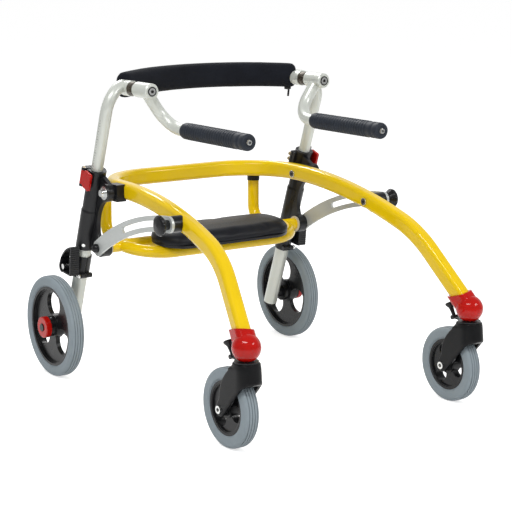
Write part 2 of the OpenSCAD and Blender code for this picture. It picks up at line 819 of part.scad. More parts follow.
// Clamp round the leg, with the barrel of its screw and the cam's lug
module brake_clamp(side) color(black) on(side) {
    lug_w = 18;
    lug_h = 10;
    slit = 1.6;
    leg_frame() difference() {
        union() {
            translate([0, 0, clamp_low]) cylinder(h = clamp_h, d = clamp_d);
            rod_at(barrel_at, -barrel_in, barrel_out, barrel_d);
            translate([-lug_w / 2, barrel_at[0], barrel_at[1] - lug_h / 2])
                cube([lug_w, -barrel_at[0] - 8, lug_h]);
            rod_at(cam_pivot, 0, cam_lug_out, cam_lug_d);
            translate([0, 0, cam_pivot[1] - cam_lug_d / 2]) cube([cam_lug_out, cam_pivot[0], cam_lug_d]);
        }
        translate([0, 0, clamp_low - cut]) cylinder(h = clamp_h + 2 * cut, d = snug);
        rod_at(barrel_at, 2 - barrel_in, barrel_out + cut, screw_d + 2 * run_fit);
        rod_at(cam_pivot, leg_d / 2, cam_lug_out + cut, cam_pin_d + 2 * run_fit);
        translate([-slit / 2, -clamp_d, clamp_low - cut]) cube([slit, clamp_d, clamp_h + 2 * cut]);
    }
}
module brake_clamp_left() { brake_clamp(left); }
module brake_clamp_right() { brake_clamp(right); }

// Clamp screws, cam pivot screws and the screws that hold the legs in their sleeves
module clamp_screws() color(silver) pair() {
    cam_nut_in = cam_in - leg_x + cam_wall + 2 + face_gap;
    cam_nut_out = cam_in - leg_x + cam_w - 2;
    leg_frame() {
        rod_at(barrel_at, 3 - barrel_in, barrel_out + 2, screw_d);
        translate([barrel_out + 3.4, barrel_at[0], barrel_at[1]]) sphere(screw_ball_r);
        rod_at(cam_pivot, leg_d / 2 + 1, cam_nut_out, cam_pin_d);
        rod_at(cam_pivot, cam_nut_in, cam_nut_out, 11);
        rotate(sleeve_screw_turn) {
            rod_at([0, sleeve_screw_z], leg_d / 2 - 2, sleeve_d / 2 + 2, sleeve_screw_d - 2 * run_fit);
            rod_at([0, sleeve_screw_z], sleeve_d / 2, sleeve_d / 2 + 2, 7);
        }
    }
}

// Outline of the brake cam about its pivot: a flat front, a round back and a round heel
module cam_outline(inset) {
    intersection() {
        translate(cam_back_at) circle(cam_back_r - inset, $fn = 180);
        union() {
            translate([cam_front + inset, cam_low + inset]) square([-cam_front - inset, 2 * cam_back_r]);
            translate([-cut, 0]) square([2 * cam_heel_r, 2 * cam_back_r]);
        }
    }
    circle(cam_heel_r - inset);
}

// Open-faced brake cam with a ribbed front
module brake_cam(side) color(black) on(side) {
    ribs = 13;
    rib_pitch = 4.2;
    rib_w = 2;
    x1 = cam_in + cam_w;
    leg_side_frame() translate([0, cam_pivot[0], cam_pivot[1]]) rotate([cam_turn, 0, 0]) difference() {
        union() {
            difference() {
                plate(cam_in, x1) cam_outline(0);
                plate(cam_in + cam_wall, x1 + cut) cam_outline(cam_wall);
            }
            rod(cam_in, cam_in + cam_wall + 2, 12);
            for (i = [0:ribs - 1])
                translate([cam_in, cam_front - rib_w / 2, cam_low + 2 + i * rib_pitch])
                    cube([cam_w, rib_w, rib_w]);
        }
        rod(cam_in - cut, x1 + cut, cam_pin_d + 2 * run_fit);
        rod_at(cam_hole_at, cam_in - cut, x1 + cut, 9);
    }
}
module brake_cam_left() { brake_cam(left); }
module brake_cam_right() { brake_cam(right); }

// Red quick-release lever, a flat paddle hinged on the collar's ears
module clamp_lever(side) color(red) on(side) {
    z0 = collar_low + 1 + face_gap;
    h = collar_top - collar_low - ear_t - 2 * face_gap;
    flap = 3;
    corner = 4;
    leg_frame() difference() {
        union() {
            translate([lever_pin[0], lever_pin[1], z0]) cylinder(h = h, r = lever_boss_r);
            plate(lever_in, lever_in + lever_t) {
                translate([0, z0]) square([lever_pin[1], h]);
                translate([-lever_reach, z0 - flap]) soft_corners(lever_reach + 5, h + 2 * flap, corner);
            }
        }
        translate([lever_pin[0], lever_pin[1], z0 - cut])
            cylinder(h = h + 2 * cut, d = lever_pin_d + 2 * run_fit);
    }
}
module clamp_lever_left() { clamp_lever(left); }
module clamp_lever_right() { clamp_lever(right); }

// Saddles between the arms and the brackets, up to just short of the corner bends
module pivot_saddles() color(black) pair() {
    ahead = 22;
    behind = 9;
    bite = 4;
    arm_side = arm_x + tube_w / 2;
    difference() {
        translate([arm_side - bite, pivot_y - ahead, pivot_z - tube_h / 2])
            cube([web_in - face_gap - arm_side + bite, ahead + behind, tube_h]);
        tube_arm(4 * run_fit);
        rod_at([pivot_y, pivot_z], 0, leg_x, bolt_d + 2 * run_fit);
    }
}

// Head with a hexagon socket at the inner end of a bolt, with its seat at x
head_t = 3;
head_over = 4;
socket_d = 6.5;
module socket_bolt(x, x1, d) {
    difference() {
        union() {
            rod(x - head_t, x1, d);
            rod(x - head_t, x, d + head_over);
        }
        translate([x - head_t - cut, 0, 0]) rotate([0, 90, 0])
            cylinder(h = head_t - 0.6 + cut, d = socket_d, $fn = 6);
    }
}

// Fold pivot bolts with their washers
module pivot_bolts() color(silver) pair() {
    washer_in = lug_out + face_gap;
    nut_in = washer_in + washer_t;
    translate([0, pivot_y, pivot_z]) {
        socket_bolt(arm_x - tube_w / 2 - 0.1, nut_in + nut_t, bolt_d);
        rod(washer_in, nut_in, washer_d);
        rod(nut_in, nut_in + nut_t, bolt_d + 3);
    }
}

// Saddles between the arms and the slotted links
module link_saddles() color(black) pair() {
    difference() {
        rod_at([pin_at[1], pin_at[2]], pin_at[0] + 4, link_in - face_gap, saddle_d);
        tube_arm(4 * run_fit);
        rod_at([pin_at[1], pin_at[2]], 0, leg_x, pin_d + 2 * run_fit);
    }
}

// Studs of the knobs, up to the link; the heads stand clear of the arm's slanted inner face
head_stand = (pin_d + head_over) / 2 * sin(pin_angle) * sin(arm_tilt) + 0.25;
module link_bolts() color(silver) pair() {
    translate([0, pin_at[1], pin_at[2]])
        socket_bolt(pin_at[0] - tube_w / 2 - head_stand, link_in - face_gap, pin_d);
}

// Mushroom knob that clamps the slotted link
knob_neck_l = 6;
knob_neck_r = 9;
knob_l = 23;
module knob(side) color(black) on(side) {
    lobes = 10;
    translate([link_out + face_gap, pin_at[1], pin_at[2]]) rotate([0, 90, 0]) difference() {
        rotate_extrude() polygon([[0, 0], [knob_neck_r, 0], [knob_neck_r + 1, knob_neck_l],
            [knob_d / 2 - 1, knob_l - 8], [knob_d / 2, knob_l - 6], [knob_d / 2 - 1, knob_l - 3.5],
            [knob_d / 2 - 5, knob_l - 1.5], [0, knob_l]]);
        for (i = [0:lobes - 1]) rotate(i * 360 / lobes)
            translate([knob_d / 2 + 2, 0, knob_neck_l]) cylinder(h = knob_l, r = 3.4);
    }
}
module knob_left() { knob(left); }
module knob_right() { knob(right); }

// Place on the link's centreline at an angle
function link_at(a) = link_centre + link_r * [cos(a), sin(a)];

// Outline of an arc band of width w on the link's centreline between two angles
module link_band(w, a0, a1) {
    reach = (link_r + w) / cos((a1 - a0) / 2);
    translate(link_centre) intersection() {
        difference() {
            circle(r = link_r + w / 2, $fn = 720);
            circle(r = link_r - w / 2, $fn = 720);
        }
        polygon([[0, 0], reach * [cos(a0), sin(a0)], reach * [cos(a1), sin(a1)]]);
    }
}

// Slotted link bar, with eyes a little wider than the band between them
eye_proud = 0.5;
module slotted_link(side) color(silver) on(side) {
    plate(link_in, link_out) difference() {
        union() {
            link_band(link_w - eye_proud, link_a1, link_a0);
            for (a = [link_a0, link_a1]) translate(link_at(a)) circle(d = link_w);
        }
        link_band(slot_w - eye_proud, link_a0 - slot_a, link_a0);
        for (a = [link_a0, link_a0 - slot_a]) translate(link_at(a)) circle(d = slot_w);
        translate([lower_y, lower_z]) circle(d = pin_d + 2 * run_fit);
    }
}
module slotted_link_left() { slotted_link(left); }
module slotted_link_right() { slotted_link(right); }

// Left post and bend of the handlebar
module rest_half(d) {
    leg_frame() translate([0, 0, post_low]) cylinder(h = post_span - hairline, d = d);
    turn(bend_start, leg_up, bend_in, rest_bend_r, bend_angle - seam(rest_bend_r)) circle(d = d);
    core(bend_start, leg_up, bend_in) circle(d = d - 1);
    core(bend_end, bow_dir, up) circle(d = d - 1);
}

// Bow of the backrest bar
module rest_bow(d) {
    translate([0, bow_centre_y, rest_z]) rotate(90 - bow_angle) rotate_extrude(angle = 2 * bow_angle)
        translate([bow_r, 0]) circle(d = d);
}

// Handlebar with the rear sockets and spindles of the handle joints
module handlebar_tube() color(white_metal) {
    rest_bow(post_d);
    pair() {
        rest_half(post_d);
        translate([joint_x, socket_rear, joint_z]) rotate([90, 0, 0])
            cylinder(h = socket_rear - socket_front, d = joint_d);
        translate([joint_x, socket_front + cut, joint_z]) rotate([90, 0, 0])
            cylinder(h = cut + ring_l + 40, d = spindle_d);
    }
}

// Toothed rings of the handle joints
module joint_rings() color(brass) pair() {
    teeth = 24;
    translate([joint_x, socket_front, joint_z]) rotate([90, 0, 0]) difference() {
        cylinder(h = ring_l, d = joint_d - 3);
        translate([0, 0, -cut]) cylinder(h = ring_l + 2 * cut, d = spindle_d + 2 * run_fit);
        for (i = [0:teeth - 1]) rotate(i * 360 / teeth) translate([joint_d / 2 - 2.5, -0.8, ring_l / 2])
            cube([4, 1.6, ring_l]);
    }
}

// Padded sleeve on the backrest bar, fuller in the middle and drawn in at its ends
pad_rings = 28;
pad_sides = 20;
pad_reach = bow_angle - 0.6;
function pad_full(t) = (1 - 0.10 * pow(t, 4)) * (abs(t) > 0.98 ? 0.93 : 1);
function pad_rise(t) = -0.5 + 5 * (1 - t * t);
function pad_point(i, j) = let(t = 2 * i / pad_rings - 1, a = 90 + t * pad_reach, q = j * 360 / pad_sides,
    r = bow_r + pad_full(t) * pad_t / 2 * sign(cos(q)) * pow(abs(cos(q)), 0.75),
    z = pad_rise(t) + pad_full(t) * pad_h / 2 * sign(sin(q)) * pow(abs(sin(q)), 0.75))
    [r * cos(a), bow_centre_y + r * sin(a), rest_z + z];
module backrest_pad() color(black) {
    points = [for (i = [0:pad_rings], j = [0:pad_sides - 1]) pad_point(i, j)];
    walls = [for (i = [0:pad_rings - 1], j = [0:pad_sides - 1], h = [0, 1])
        let(a = i * pad_sides + j, b = i * pad_sides + (j + 1) % pad_sides)
            h == 0 ? [a, b, a + pad_sides] : [b, b + pad_sides, a + pad_sides]];
    first = [for (j = [1:pad_sides - 2]) [0, j + 1, j]];
    base = pad_rings * pad_sides;
    bar_room = post_d + 2 * face_gap;
    last = [for (j = [1:pad_sides - 2]) [base, base + j, base + j + 1]];
    difference() {
        polyhedron(points, concat(walls, first, last), convexity = 6);
        translate([0, bow_centre_y, rest_z]) rotate(90 - bow_angle - 5)
            rotate_extrude(angle = 2 * bow_angle + 10) translate([bow_r, 0]) circle(d = bar_room);
        pair() turn(bend_start, leg_up, bend_in, rest_bend_r, bend_angle) circle(d = bar_room);
        pair() translate([joint_x, socket_rear + cut, joint_z]) rotate([90, 0, 0])
            cylinder(h = socket_rear - socket_front, d = joint_d + 2 * face_gap);
        pair() translate([joint_x - joint_d / 2, socket_front - cut, joint_z - pad_h])
            cube([joint_d, socket_rear - socket_front + cut, pad_h]);
    }
}

// Handle: joint hub, bent tube and the core of the grip
module handle(side) color(white_metal) on(side) {
    stem_root = [joint_x, stem_y, joint_z];
    bend_from = stem_root + (stem_span - grip_bend_r) * stem_dir;
    difference() {
        union() {
            translate([joint_x, hub_rear, joint_z]) rotate([90, 0, 0]) {
                cylinder(h = hub_l - 2, d = joint_d);
                translate([0, 0, hub_l - 2]) cylinder(h = 2, d1 = joint_d, d2 = joint_d - 4);
            }
            run(stem_root, stem_dir, stem_span - grip_bend_r - hairline, fwd) circle(d = post_d);
            turn(bend_from, stem_dir, fwd, grip_bend_r, 90 - seam(grip_bend_r)) circle(d = post_d);
            run([grip_x, stem_y - grip_bend_r, grip_z], fwd, grip_gap + grip_l - 6, out) circle(d = post_d);
            core(bend_from, stem_dir, fwd) circle(d = post_d - 1);
            core([grip_x, stem_y - grip_bend_r, grip_z], fwd, out) circle(d = post_d - 1);
        }
        translate([joint_x, hub_rear + cut, joint_z]) rotate([90, 0, 0])
            cylinder(h = hub_l - 6 + cut, d = spindle_d + 2 * run_fit);
        translate([joint_x, hub_rear, joint_z]) rotate([90, 0, 0]) cylinder(h = hub_l + cut, d = 6);
        translate([joint_x, hub_front + 2, joint_z]) rotate([90, 0, 0]) cylinder(h = 2 + cut, d = 15);
        translate([grip_x, grip_rear - grip_l + 12, grip_z]) rotate([90, 0, 0]) cylinder(h = 20, d = 5);
    }
}
module handle_left() { handle(left); }
module handle_right() { handle(right); }

// Ribbed rubber grip with round ends
module grip(side) color(black) on(side) {
    rib_pitch = 7.6;
    ribs = floor((grip_l - 60) / rib_pitch);
    r = grip_d / 2;
    round_r = 6;
    translate([grip_x, grip_rear, grip_z]) rotate([90, 0, 0]) difference() {
        rotate_extrude() difference() {
            union() {
                translate([0, round_r]) square([r, grip_l - 2 * round_r]);
                square([r - round_r, grip_l]);
                for (z = [round_r, grip_l - round_r]) translate([r - round_r, z]) circle(round_r);
            }
            for (i = [0:ribs - 1]) translate([r - 0.7, 24 + i * rib_pitch]) square([2, 1.8]);
        }
        translate([0, 0, -cut]) cylinder(h = grip_l - grip_end_t + cut, d = post_d + 2 * run_fit);
        cylinder(h = grip_l + cut, d = 5 + 2 * run_fit);
    }
}
module grip_left() { grip(left); }
module grip_right() { grip(right); }

// Joint screw and grip screw of one handle
module handle_screws(side) color(silver) on(side) {
    translate([joint_x, hub_front + 2, joint_z]) rotate([90, 0, 0]) difference() {
        cylinder(h = 3, d = 14);
        translate([0, 0, 1]) cylinder(h = 3, d = 5.5, $fn = 6);
    }
    translate([grip_x, grip_rear - grip_l, grip_z]) rotate([90, 0, 0]) {
        cylinder(h = 2.2, d = 9);
        translate([0, 0, -10]) cylinder(h = 10 + cut, d = 4.8);
    }
}
module handle_screws_left() { handle_screws(left); }
module handle_screws_right() { handle_screws(right); }

// Seat frame: crossbar, front loop and the two posts
module seat_frame() color(yellow) {
    d = seat_tube_d - 0.6;
    loop_half = loop_x - loop_r;
    post_run = post_y - lower_y - post_bend_r;
    translate([0, lower_y, lower_z]) {
        rod(-seat_end_x, seat_end_x, seat_tube_d);
        rotate([seat_slope, 0, 0]) {
            run([-loop_half + hairline, -loop_r, 0], out, 2 * (loop_half - hairline), up) circle(d = d);
            pair() {
                turn([loop_x, 0, 0], fwd, -out, loop_r, 90 - seam(loop_r)) circle(d = d);
                core([loop_half, -loop_r, 0], out, up) circle(d = d - 1);
            }
        }
        pair() {
            run([post_x, 0, 0], -fwd, post_run - hairline, up) circle(d = d);
            turn([post_x, post_run, 0], -fwd, up, post_bend_r, 90 - seam(post_bend_r)) circle(d = d);
            run([post_x, post_y - lower_y, post_bend_r], up, post_top_z - lower_z - post_bend_r, out)
                circle(d = d);
            core([post_x, post_run, 0], -fwd, up) circle(d = d - 1);
            core([post_x, post_y - lower_y, post_bend_r], up, out) circle(d = d - 1);
        }
    }
}

// Rubber caps on the seat posts, which rest against the frame
module post_caps() color(black) pair() {
    translate([post_x, post_y, post_top_z]) {
        cylinder(h = cap_top_z - post_top_z - 3, d = seat_tube_d + 1.5);
        translate([0, 0, cap_top_z - post_top_z - 3])
            cylinder(h = 3, d1 = seat_tube_d + 1.5, d2 = seat_tube_d - 4);
    }
}

// Stadium outline
module stadium(l, w) {
    square([l - w, w], center = true);
    for (s = [-1, 1]) translate([s * (l - w) / 2, 0]) circle(d = w);
}

// The seat's top plane, above the tubes
module seat_plane() {
    translate([0, lower_y, lower_z]) rotate([seat_slope, 0, 0])
        translate([0, -cushion_ahead, seat_tube_d / 2 + 0.1]) children();
}

module seat_board() color(black) {
    seat_plane() linear_extrude(board_t) stadium(cushion_l - 16, cushion_w - 16);
}

// Cushion with a crown, full sides and drawn-in edges
cushion_sides = 64;
cushion_steps = 12;
function cushion_edge(v) = 1 - 0.55 * (1 - cos(90 * v)) - 0.05 * pow(1 - v, 4);
function cushion_ring(q, inset) = let(b = cushion_w / 2 - inset, f = (cushion_l - cushion_w) / 2,
    c = cos(q), s = sin(q)) [sign(c) * f * min(1, abs(c) * 2.2) + b * c, b * s];
function cushion_point(i, j) = let(v = i / cushion_steps, q = j * 360 / cushion_sides,
    inset = (1 - cushion_edge(v)) * cushion_w / 2, p = cushion_ring(q, inset))
    [p[0], p[1], 0.92 * cushion_h * sin(90 * v)];
module seat_cushion() color(black) {
    points = concat([for (i = [0:cushion_steps], j = [0:cushion_sides - 1]) cushion_point(i, j)],
        [[0, 0, 0], [0, 0, cushion_h]]);
    bottom = len(points) - 2;
    top = len(points) - 1;
    last = cushion_steps * cushion_sides;
    walls = [for (i = [0:cushion_steps - 1], j = [0:cushion_sides - 1], h = [0, 1])
        let(a = i * cushion_sides + j, b = i * cushion_sides + (j + 1) % cushion_sides)
            h == 0 ? [a, a + cushion_sides, b] : [b, a + cushion_sides, b + cushion_sides]];
    base = [for (j = [0:cushion_sides - 1]) [bottom, j, (j + 1) % cushion_sides]];
    crown = [for (j = [0:cushion_sides - 1]) [top, last + (j + 1) % cushion_sides, last + j]];
    seat_plane() translate([0, 0, board_t]) polyhedron(points, concat(walls, base, crown), convexity = 4);
}

frame_tube();
caster_ball_left();
caster_ball_right();
swivel_bearings();
link_saddles();
pivot_saddles();
pivot_bolts();
link_bolts();
bracket_left();
bracket_right();
rear_leg_left();
rear_leg_right();
leg_caps();
brake_clamp_left();
brake_clamp_right();
clamp_screws();
rear_axles();
axle_spacers();
seat_bushes();
link_pins();
lever_pins();
handlebar_tube();
joint_rings();
backrest_pad();
handle_left();
handle_right();
grip_left();
grip_right();
handle_screws_left();
handle_screws_right();
slotted_link_left();
slotted_link_right();
knob_left();
knob_right();
clamp_lever_left();
clamp_lever_right();
brake_cam_left();
brake_cam_right();
seat_frame();
seat_board();
seat_cushion();
post_caps();
rear_tyre_left();
rear_tyre_right();
rear_rim_left();
rear_rim_right();
hub_cap_left();
hub_cap_right();
caster_fork_left();
caster_fork_right();
front_axle_left();
front_axle_right();
front_tyre_left();
front_tyre_right();
front_rim_left();
front_rim_right();
swivel_lock_left();
swivel_lock_right();
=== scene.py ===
"""Looks for the posterior walker: finishes, soft pieces, grips, fork skins, small fittings and the studio."""

import math

import bmesh
import bpy
import numpy as np
from mathutils import Matrix, Vector


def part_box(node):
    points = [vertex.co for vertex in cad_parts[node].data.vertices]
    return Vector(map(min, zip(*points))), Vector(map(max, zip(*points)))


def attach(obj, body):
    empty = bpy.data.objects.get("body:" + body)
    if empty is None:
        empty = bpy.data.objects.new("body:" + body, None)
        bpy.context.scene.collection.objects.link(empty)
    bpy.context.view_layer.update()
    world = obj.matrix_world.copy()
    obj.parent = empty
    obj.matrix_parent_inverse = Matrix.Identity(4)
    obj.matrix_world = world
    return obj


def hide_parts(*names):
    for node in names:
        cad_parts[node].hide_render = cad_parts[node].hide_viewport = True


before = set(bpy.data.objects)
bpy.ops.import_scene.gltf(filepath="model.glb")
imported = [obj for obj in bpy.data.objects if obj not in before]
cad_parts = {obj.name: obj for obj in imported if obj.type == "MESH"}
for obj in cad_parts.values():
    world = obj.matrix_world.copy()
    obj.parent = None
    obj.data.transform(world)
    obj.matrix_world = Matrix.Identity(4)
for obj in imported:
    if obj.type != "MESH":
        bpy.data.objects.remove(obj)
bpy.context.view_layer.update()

bl_info = {
    "name": "Posterior walker looks",
    "version": (1, 0, 0),
    "blender": (4, 5, 0),
    "location": "View3D > Sidebar > Walker",
    "description": "Builds the visible finish of a folding posterior walker",
    "category": "Object",
}

SIDES = ("left", "right")
SIDE_SIGN = {"left": 1.0, "right": -1.0}

# Where the leg's axis meets the rear axle, its lean, and the radius of the post in it
LEG_FOOT = Vector((0.243, 0.2748, 0.1))
LEG_LEAN = math.radians(19.4)
POST_RADIUS = 0.0115

# Place of the camera, and the way from it to the white backdrop
VIEWPOINT = (-1.6609, -2.4258, 0.8499)
BACKDROP = (0.5556, 0.8074, -0.1988)


# Settings


class WalkerColours(bpy.types.PropertyGroup):
    """Paint, plastic, rubber and metal colours, as linear values."""

    frame_yellow: bpy.props.FloatVectorProperty(
        name="Frame yellow", description="Powder coat of the frame and the seat loop",
        default=(0.86, 0.585, 0.003), size=3, subtype="COLOR", min=0, max=1)
    accent_red: bpy.props.FloatVectorProperty(
        name="Accent red", description="Caster balls, clamp levers and hub caps",
        default=(0.50, 0.006, 0.003), size=3, subtype="COLOR", min=0, max=1)
    mould_black: bpy.props.FloatVectorProperty(
        name="Moulded black", description="Brackets, forks, rims and knobs",
        default=(0.010, 0.0105, 0.012), size=3, subtype="COLOR", min=0, max=1)
    tyre_grey: bpy.props.FloatVectorProperty(
        name="Tyre grey", description="Non-marking rubber of the tyres",
        default=(0.268, 0.315, 0.345), size=3, subtype="COLOR", min=0, max=1)
    post_silver: bpy.props.FloatVectorProperty(
        name="Post silver", description="Silver coat of the legs, posts and handles",
        default=(0.66, 0.685, 0.635), size=3, subtype="COLOR", min=0, max=1)
    cover_black: bpy.props.FloatVectorProperty(
        name="Cover black", description="Backrest sleeve and seat cover",
        default=(0.0058, 0.0068, 0.0102), size=3, subtype="COLOR", min=0, max=1)


class WalkerSizes(bpy.types.PropertyGroup):
    """Sizes of the soft pieces and the small fittings."""

    bow_angle: bpy.props.FloatProperty(
        name="Bow angle", description="Half of the angle that the backrest bar turns through",
        default=math.radians(32.7), subtype="ANGLE")
    pad_height: bpy.props.FloatProperty(
        name="Pad height", description="Height of the backrest pad at its middle",
        default=0.053, unit="LENGTH")
    pad_depth: bpy.props.FloatProperty(
        name="Pad depth", description="Thickness of the backrest pad at its middle",
        default=0.036, unit="LENGTH")
    cushion_length: bpy.props.FloatProperty(
        name="Cushion length", description="Length of the seat cushion", default=0.314, unit="LENGTH")
    cushion_width: bpy.props.FloatProperty(
        name="Cushion width", description="Depth of the seat cushion, front to back",
        default=0.122, unit="LENGTH")
    hood_radius: bpy.props.FloatProperty(
        name="Hood radius", description="Radius of the fork's hood", default=0.0274, unit="LENGTH")
    blade_face: bpy.props.FloatProperty(
        name="Blade face", description="Distance of the fork blades' outer faces from the swivel axis",
        default=0.0235, unit="LENGTH")
    stem_length: bpy.props.FloatProperty(
        name="Stem length", description="Length of the fork's stem above its crown",
        default=0.024, unit="LENGTH")
    cushion_height: bpy.props.FloatProperty(
        name="Cushion height", description="Height of the cushion above its board",
        default=0.022, unit="LENGTH")
    seat_slope: bpy.props.FloatProperty(
        name="Seat slope", description="Downward slope of the seat to its front",
        default=math.radians(6), subtype="ANGLE")
    rib_pitch: bpy.props.FloatProperty(
        name="Rib pitch", description="Spacing of the ribs on the grips", default=0.0076, unit="LENGTH")
    voxel: bpy.props.FloatProperty(
        name="Voxel", description="Voxel of the padded pieces before they are blown up",
        default=0.0045, unit="LENGTH")


# Shader sheets


class Value:
    """A float socket that adds Math nodes when it is used in an expression."""

    def __init__(self, sheet, socket):
        self.sheet, self.socket = sheet, socket

    def _math(self, operation, a, b):
        made = self.sheet.node("ShaderNodeMath", {"operation": operation}, {0: a, 1: b})
        return Value(self.sheet, made.outputs[0])

    def __add__(self, other): return self._math("ADD", self, other)
    def __sub__(self, other): return self._math("SUBTRACT", self, other)
    def __mul__(self, other): return self._math("MULTIPLY", self, other)
    def sine(self): return self._math("SINE", self, 0.0)


class Finish:
    """One material, with a method that adds any node to it."""

    def __init__(self, name):
        self.material = bpy.data.materials.new(name)
        self.material.use_nodes = True
        self.tree = self.material.node_tree
        self.tree.nodes.clear()
        self.shader = self.node("ShaderNodeBsdfPrincipled")
        out = self.node("ShaderNodeOutputMaterial")
        self.tree.links.new(self.shader.outputs[0], out.inputs["Surface"])
        self.place = self.node("ShaderNodeTexCoord").outputs["Object"]

    def node(self, kind, settings=None, sockets=None):
        """Adds a node, sets its settings, then links or sets its sockets."""
        made = self.tree.nodes.new(kind)
        for key, value in (settings or {}).items():
            setattr(made, key, value)
        for key, value in (sockets or {}).items():
            self.feed(made.inputs[key], value)
        return made

    def feed(self, socket, value):
        """Links a socket or sets it to a constant."""
        if isinstance(value, Value):
            value = value.socket
        if isinstance(value, bpy.types.NodeSocket):
            self.tree.links.new(value, socket)
        elif socket.type == "RGBA" and len(value) == 3:
            socket.default_value = (*value, 1.0)
        else:
            socket.default_value = value

    def surface(self, **sockets):
        """Feeds the shader's own sockets, with spaces written as underscores."""
        for key, value in sockets.items():
            self.feed(self.shader.inputs[key.replace("_", " ")], value)
        return self

    def noise(self, scale, detail=3.0, rough=0.55, stretch=None):
        """Noise from 0 to 1 at a scale in cells per metre."""
        place = self.place
        if stretch:
            place = self.node("ShaderNodeMapping", {}, {"Vector": place, "Scale": stretch}).outputs[0]
        sockets = {"Vector": place, "Scale": scale, "Detail": detail, "Roughness": rough}
        return Value(self, self.node("ShaderNodeTexNoise", {}, sockets).outputs[0])

    def cells(self, scale):
        """Distance pattern of a Voronoi texture."""
        made = self.node("ShaderNodeTexVoronoi", {}, {"Vector": self.place, "Scale": scale})
        return Value(self, made.outputs["Distance"])

    def axes(self):
        """X, Y and Z of the place as values."""
        made = self.node("ShaderNodeSeparateXYZ", {}, {0: self.place})
        return [Value(self, made.outputs[i]) for i in range(3)]

    def mix(self, factor, first, second):
        """Colour between two colours."""
        made = self.node("ShaderNodeMix", {"data_type": "RGBA"}, {0: factor, 6: first, 7: second})
        return made.outputs[2]

    def band(self, value, low, high, start=0.0, end=1.0):
        """Value mapped from low..high to start..end and clamped."""
        made = self.node("ShaderNodeMapRange", {"clamp": True}, {0: value, 1: low, 2: high, 3: start, 4: end})
        return Value(self, made.outputs[0])

    def bump(self, height, strength, distance, under=None):
        """Normal from a height, over an earlier normal."""
        sockets = {"Height": height, "Strength": strength, "Distance": distance}
        if under is not None:
            sockets["Normal"] = under
        return self.node("ShaderNodeBump", {}, sockets).outputs[0]

    def soft_edges(self, radius):
        """Normal that rounds the sharp edges of a solid."""
        return self.node("ShaderNodeBevel", {"samples": 6}, {"Radius": radius}).outputs[0]


def shade(colour, factor):
    """Colour times a factor, kept within 1."""
    return tuple(min(1.0, c * factor) for c in colour)


def powder_coat(name, colour, peel=0.025):
    """Glossy powder coat with orange peel and faint handling marks."""
    f = Finish(name)
    cloud = f.noise(9, 4)
    marks = f.band(f.noise(60, 5, 0.65), 0.58, 0.74)
    peel_height = f.noise(520, 2)
    f.surface(
        Base_Color=f.mix(f.band(cloud, 0.3, 0.7), shade(colour, 0.95), shade(colour, 1.04)),
        Roughness=f.band(cloud, 0.3, 0.7, 0.1, 0.13) + marks * 0.04,
        Specular_IOR_Level=0.32,
        Normal=f.bump(peel_height, peel, 0.0006, f.soft_edges(0.0008)))
    return f.material


def gloss_plastic(name, colour):
    """Injection-moulded gloss plastic with slight sink and fine scuffs."""
    f = Finish(name)
    cloud = f.noise(18, 3)
    scuffs = f.band(f.noise(210, 4, 0.7, stretch=(1, 6, 1)), 0.62, 0.8)
    f.surface(
        Base_Color=f.mix(f.band(cloud, 0.3, 0.7), shade(colour, 0.9), shade(colour, 1.08)),
        Roughness=f.band(cloud, 0.3, 0.7, 0.1, 0.14) + scuffs * 0.1,
        Specular_IOR_Level=0.26,
        Normal=f.bump(f.noise(80, 2), 0.03, 0.0008, f.soft_edges(0.0014)))
    return f.material


def grained_plastic(name, colour, rough=0.33, grain=900, edge=0.001, gloss=0.3):
    """Spark-grained moulded plastic, paler where hands rub it."""
    f = Finish(name)
    cloud = f.noise(14, 4)
    rub = f.band(f.noise(45, 5, 0.6), 0.55, 0.75)
    colour_now = f.mix(f.band(cloud, 0.3, 0.7), shade(colour, 0.85), shade(colour, 1.2))
    f.surface(
        Base_Color=f.mix(rub * 0.35, colour_now, shade(colour, 1.7)),
        Roughness=f.band(cloud, 0.3, 0.7, rough - 0.05, rough + 0.05) - rub * 0.06,
        Specular_IOR_Level=gloss,
        Normal=f.bump(f.noise(grain, 2, 0.6), 0.22, 0.0005, f.soft_edges(edge)))
    return f.material


def tyre_rubber(name, colour):
    """Matt grey rubber with dust on the crown and a fine mould texture."""
    f = Finish(name)
    cloud = f.noise(22, 4)
    dust = f.band(f.noise(120, 5, 0.7), 0.5, 0.8)
    f.surface(
        Base_Color=f.mix(dust * 0.3, f.mix(f.band(cloud, 0.3, 0.7), shade(colour, 0.93), shade(colour, 1.06)),
                         shade(colour, 1.2)),
        Roughness=f.band(cloud, 0.3, 0.7, 0.55, 0.66),
        Specular_IOR_Level=0.3,
        Normal=f.bump(f.noise(700, 3, 0.6), 0.16, 0.0005, f.soft_edges(0.0006)))
    return f.material


def satin_metal(name, colour, metal, rough, stretch=(1, 1, 0.05)):
    """Satin metal with a faint drawn grain and wear."""
    f = Finish(name)
    grain = f.noise(420, 3, 0.6, stretch=stretch)
    cloud = f.noise(12, 4)
    f.surface(
        Base_Color=f.mix(f.band(cloud, 0.3, 0.7), shade(colour, 0.95), shade(colour, 1.04)),
        Metallic=metal,
        Roughness=f.band(grain, 0.3, 0.7, rough - 0.05, rough + 0.06),
        Normal=f.bump(grain, 0.06, 0.0003, f.soft_edges(0.0006)))
    return f.material


def rubber(name, colour):
    """Matt black rubber with a fine skin."""
    f = Finish(name)
    cloud = f.noise(30, 4)
    f.surface(
        Base_Color=f.mix(f.band(cloud, 0.3, 0.7), shade(colour, 0.85), shade(colour, 1.25)),
        Roughness=f.band(cloud, 0.3, 0.7, 0.5, 0.62),
        Specular_IOR_Level=0.3,
        Normal=f.bump(f.noise(1100, 2, 0.6), 0.25, 0.0004, f.soft_edges(0.0005)))
    return f.material


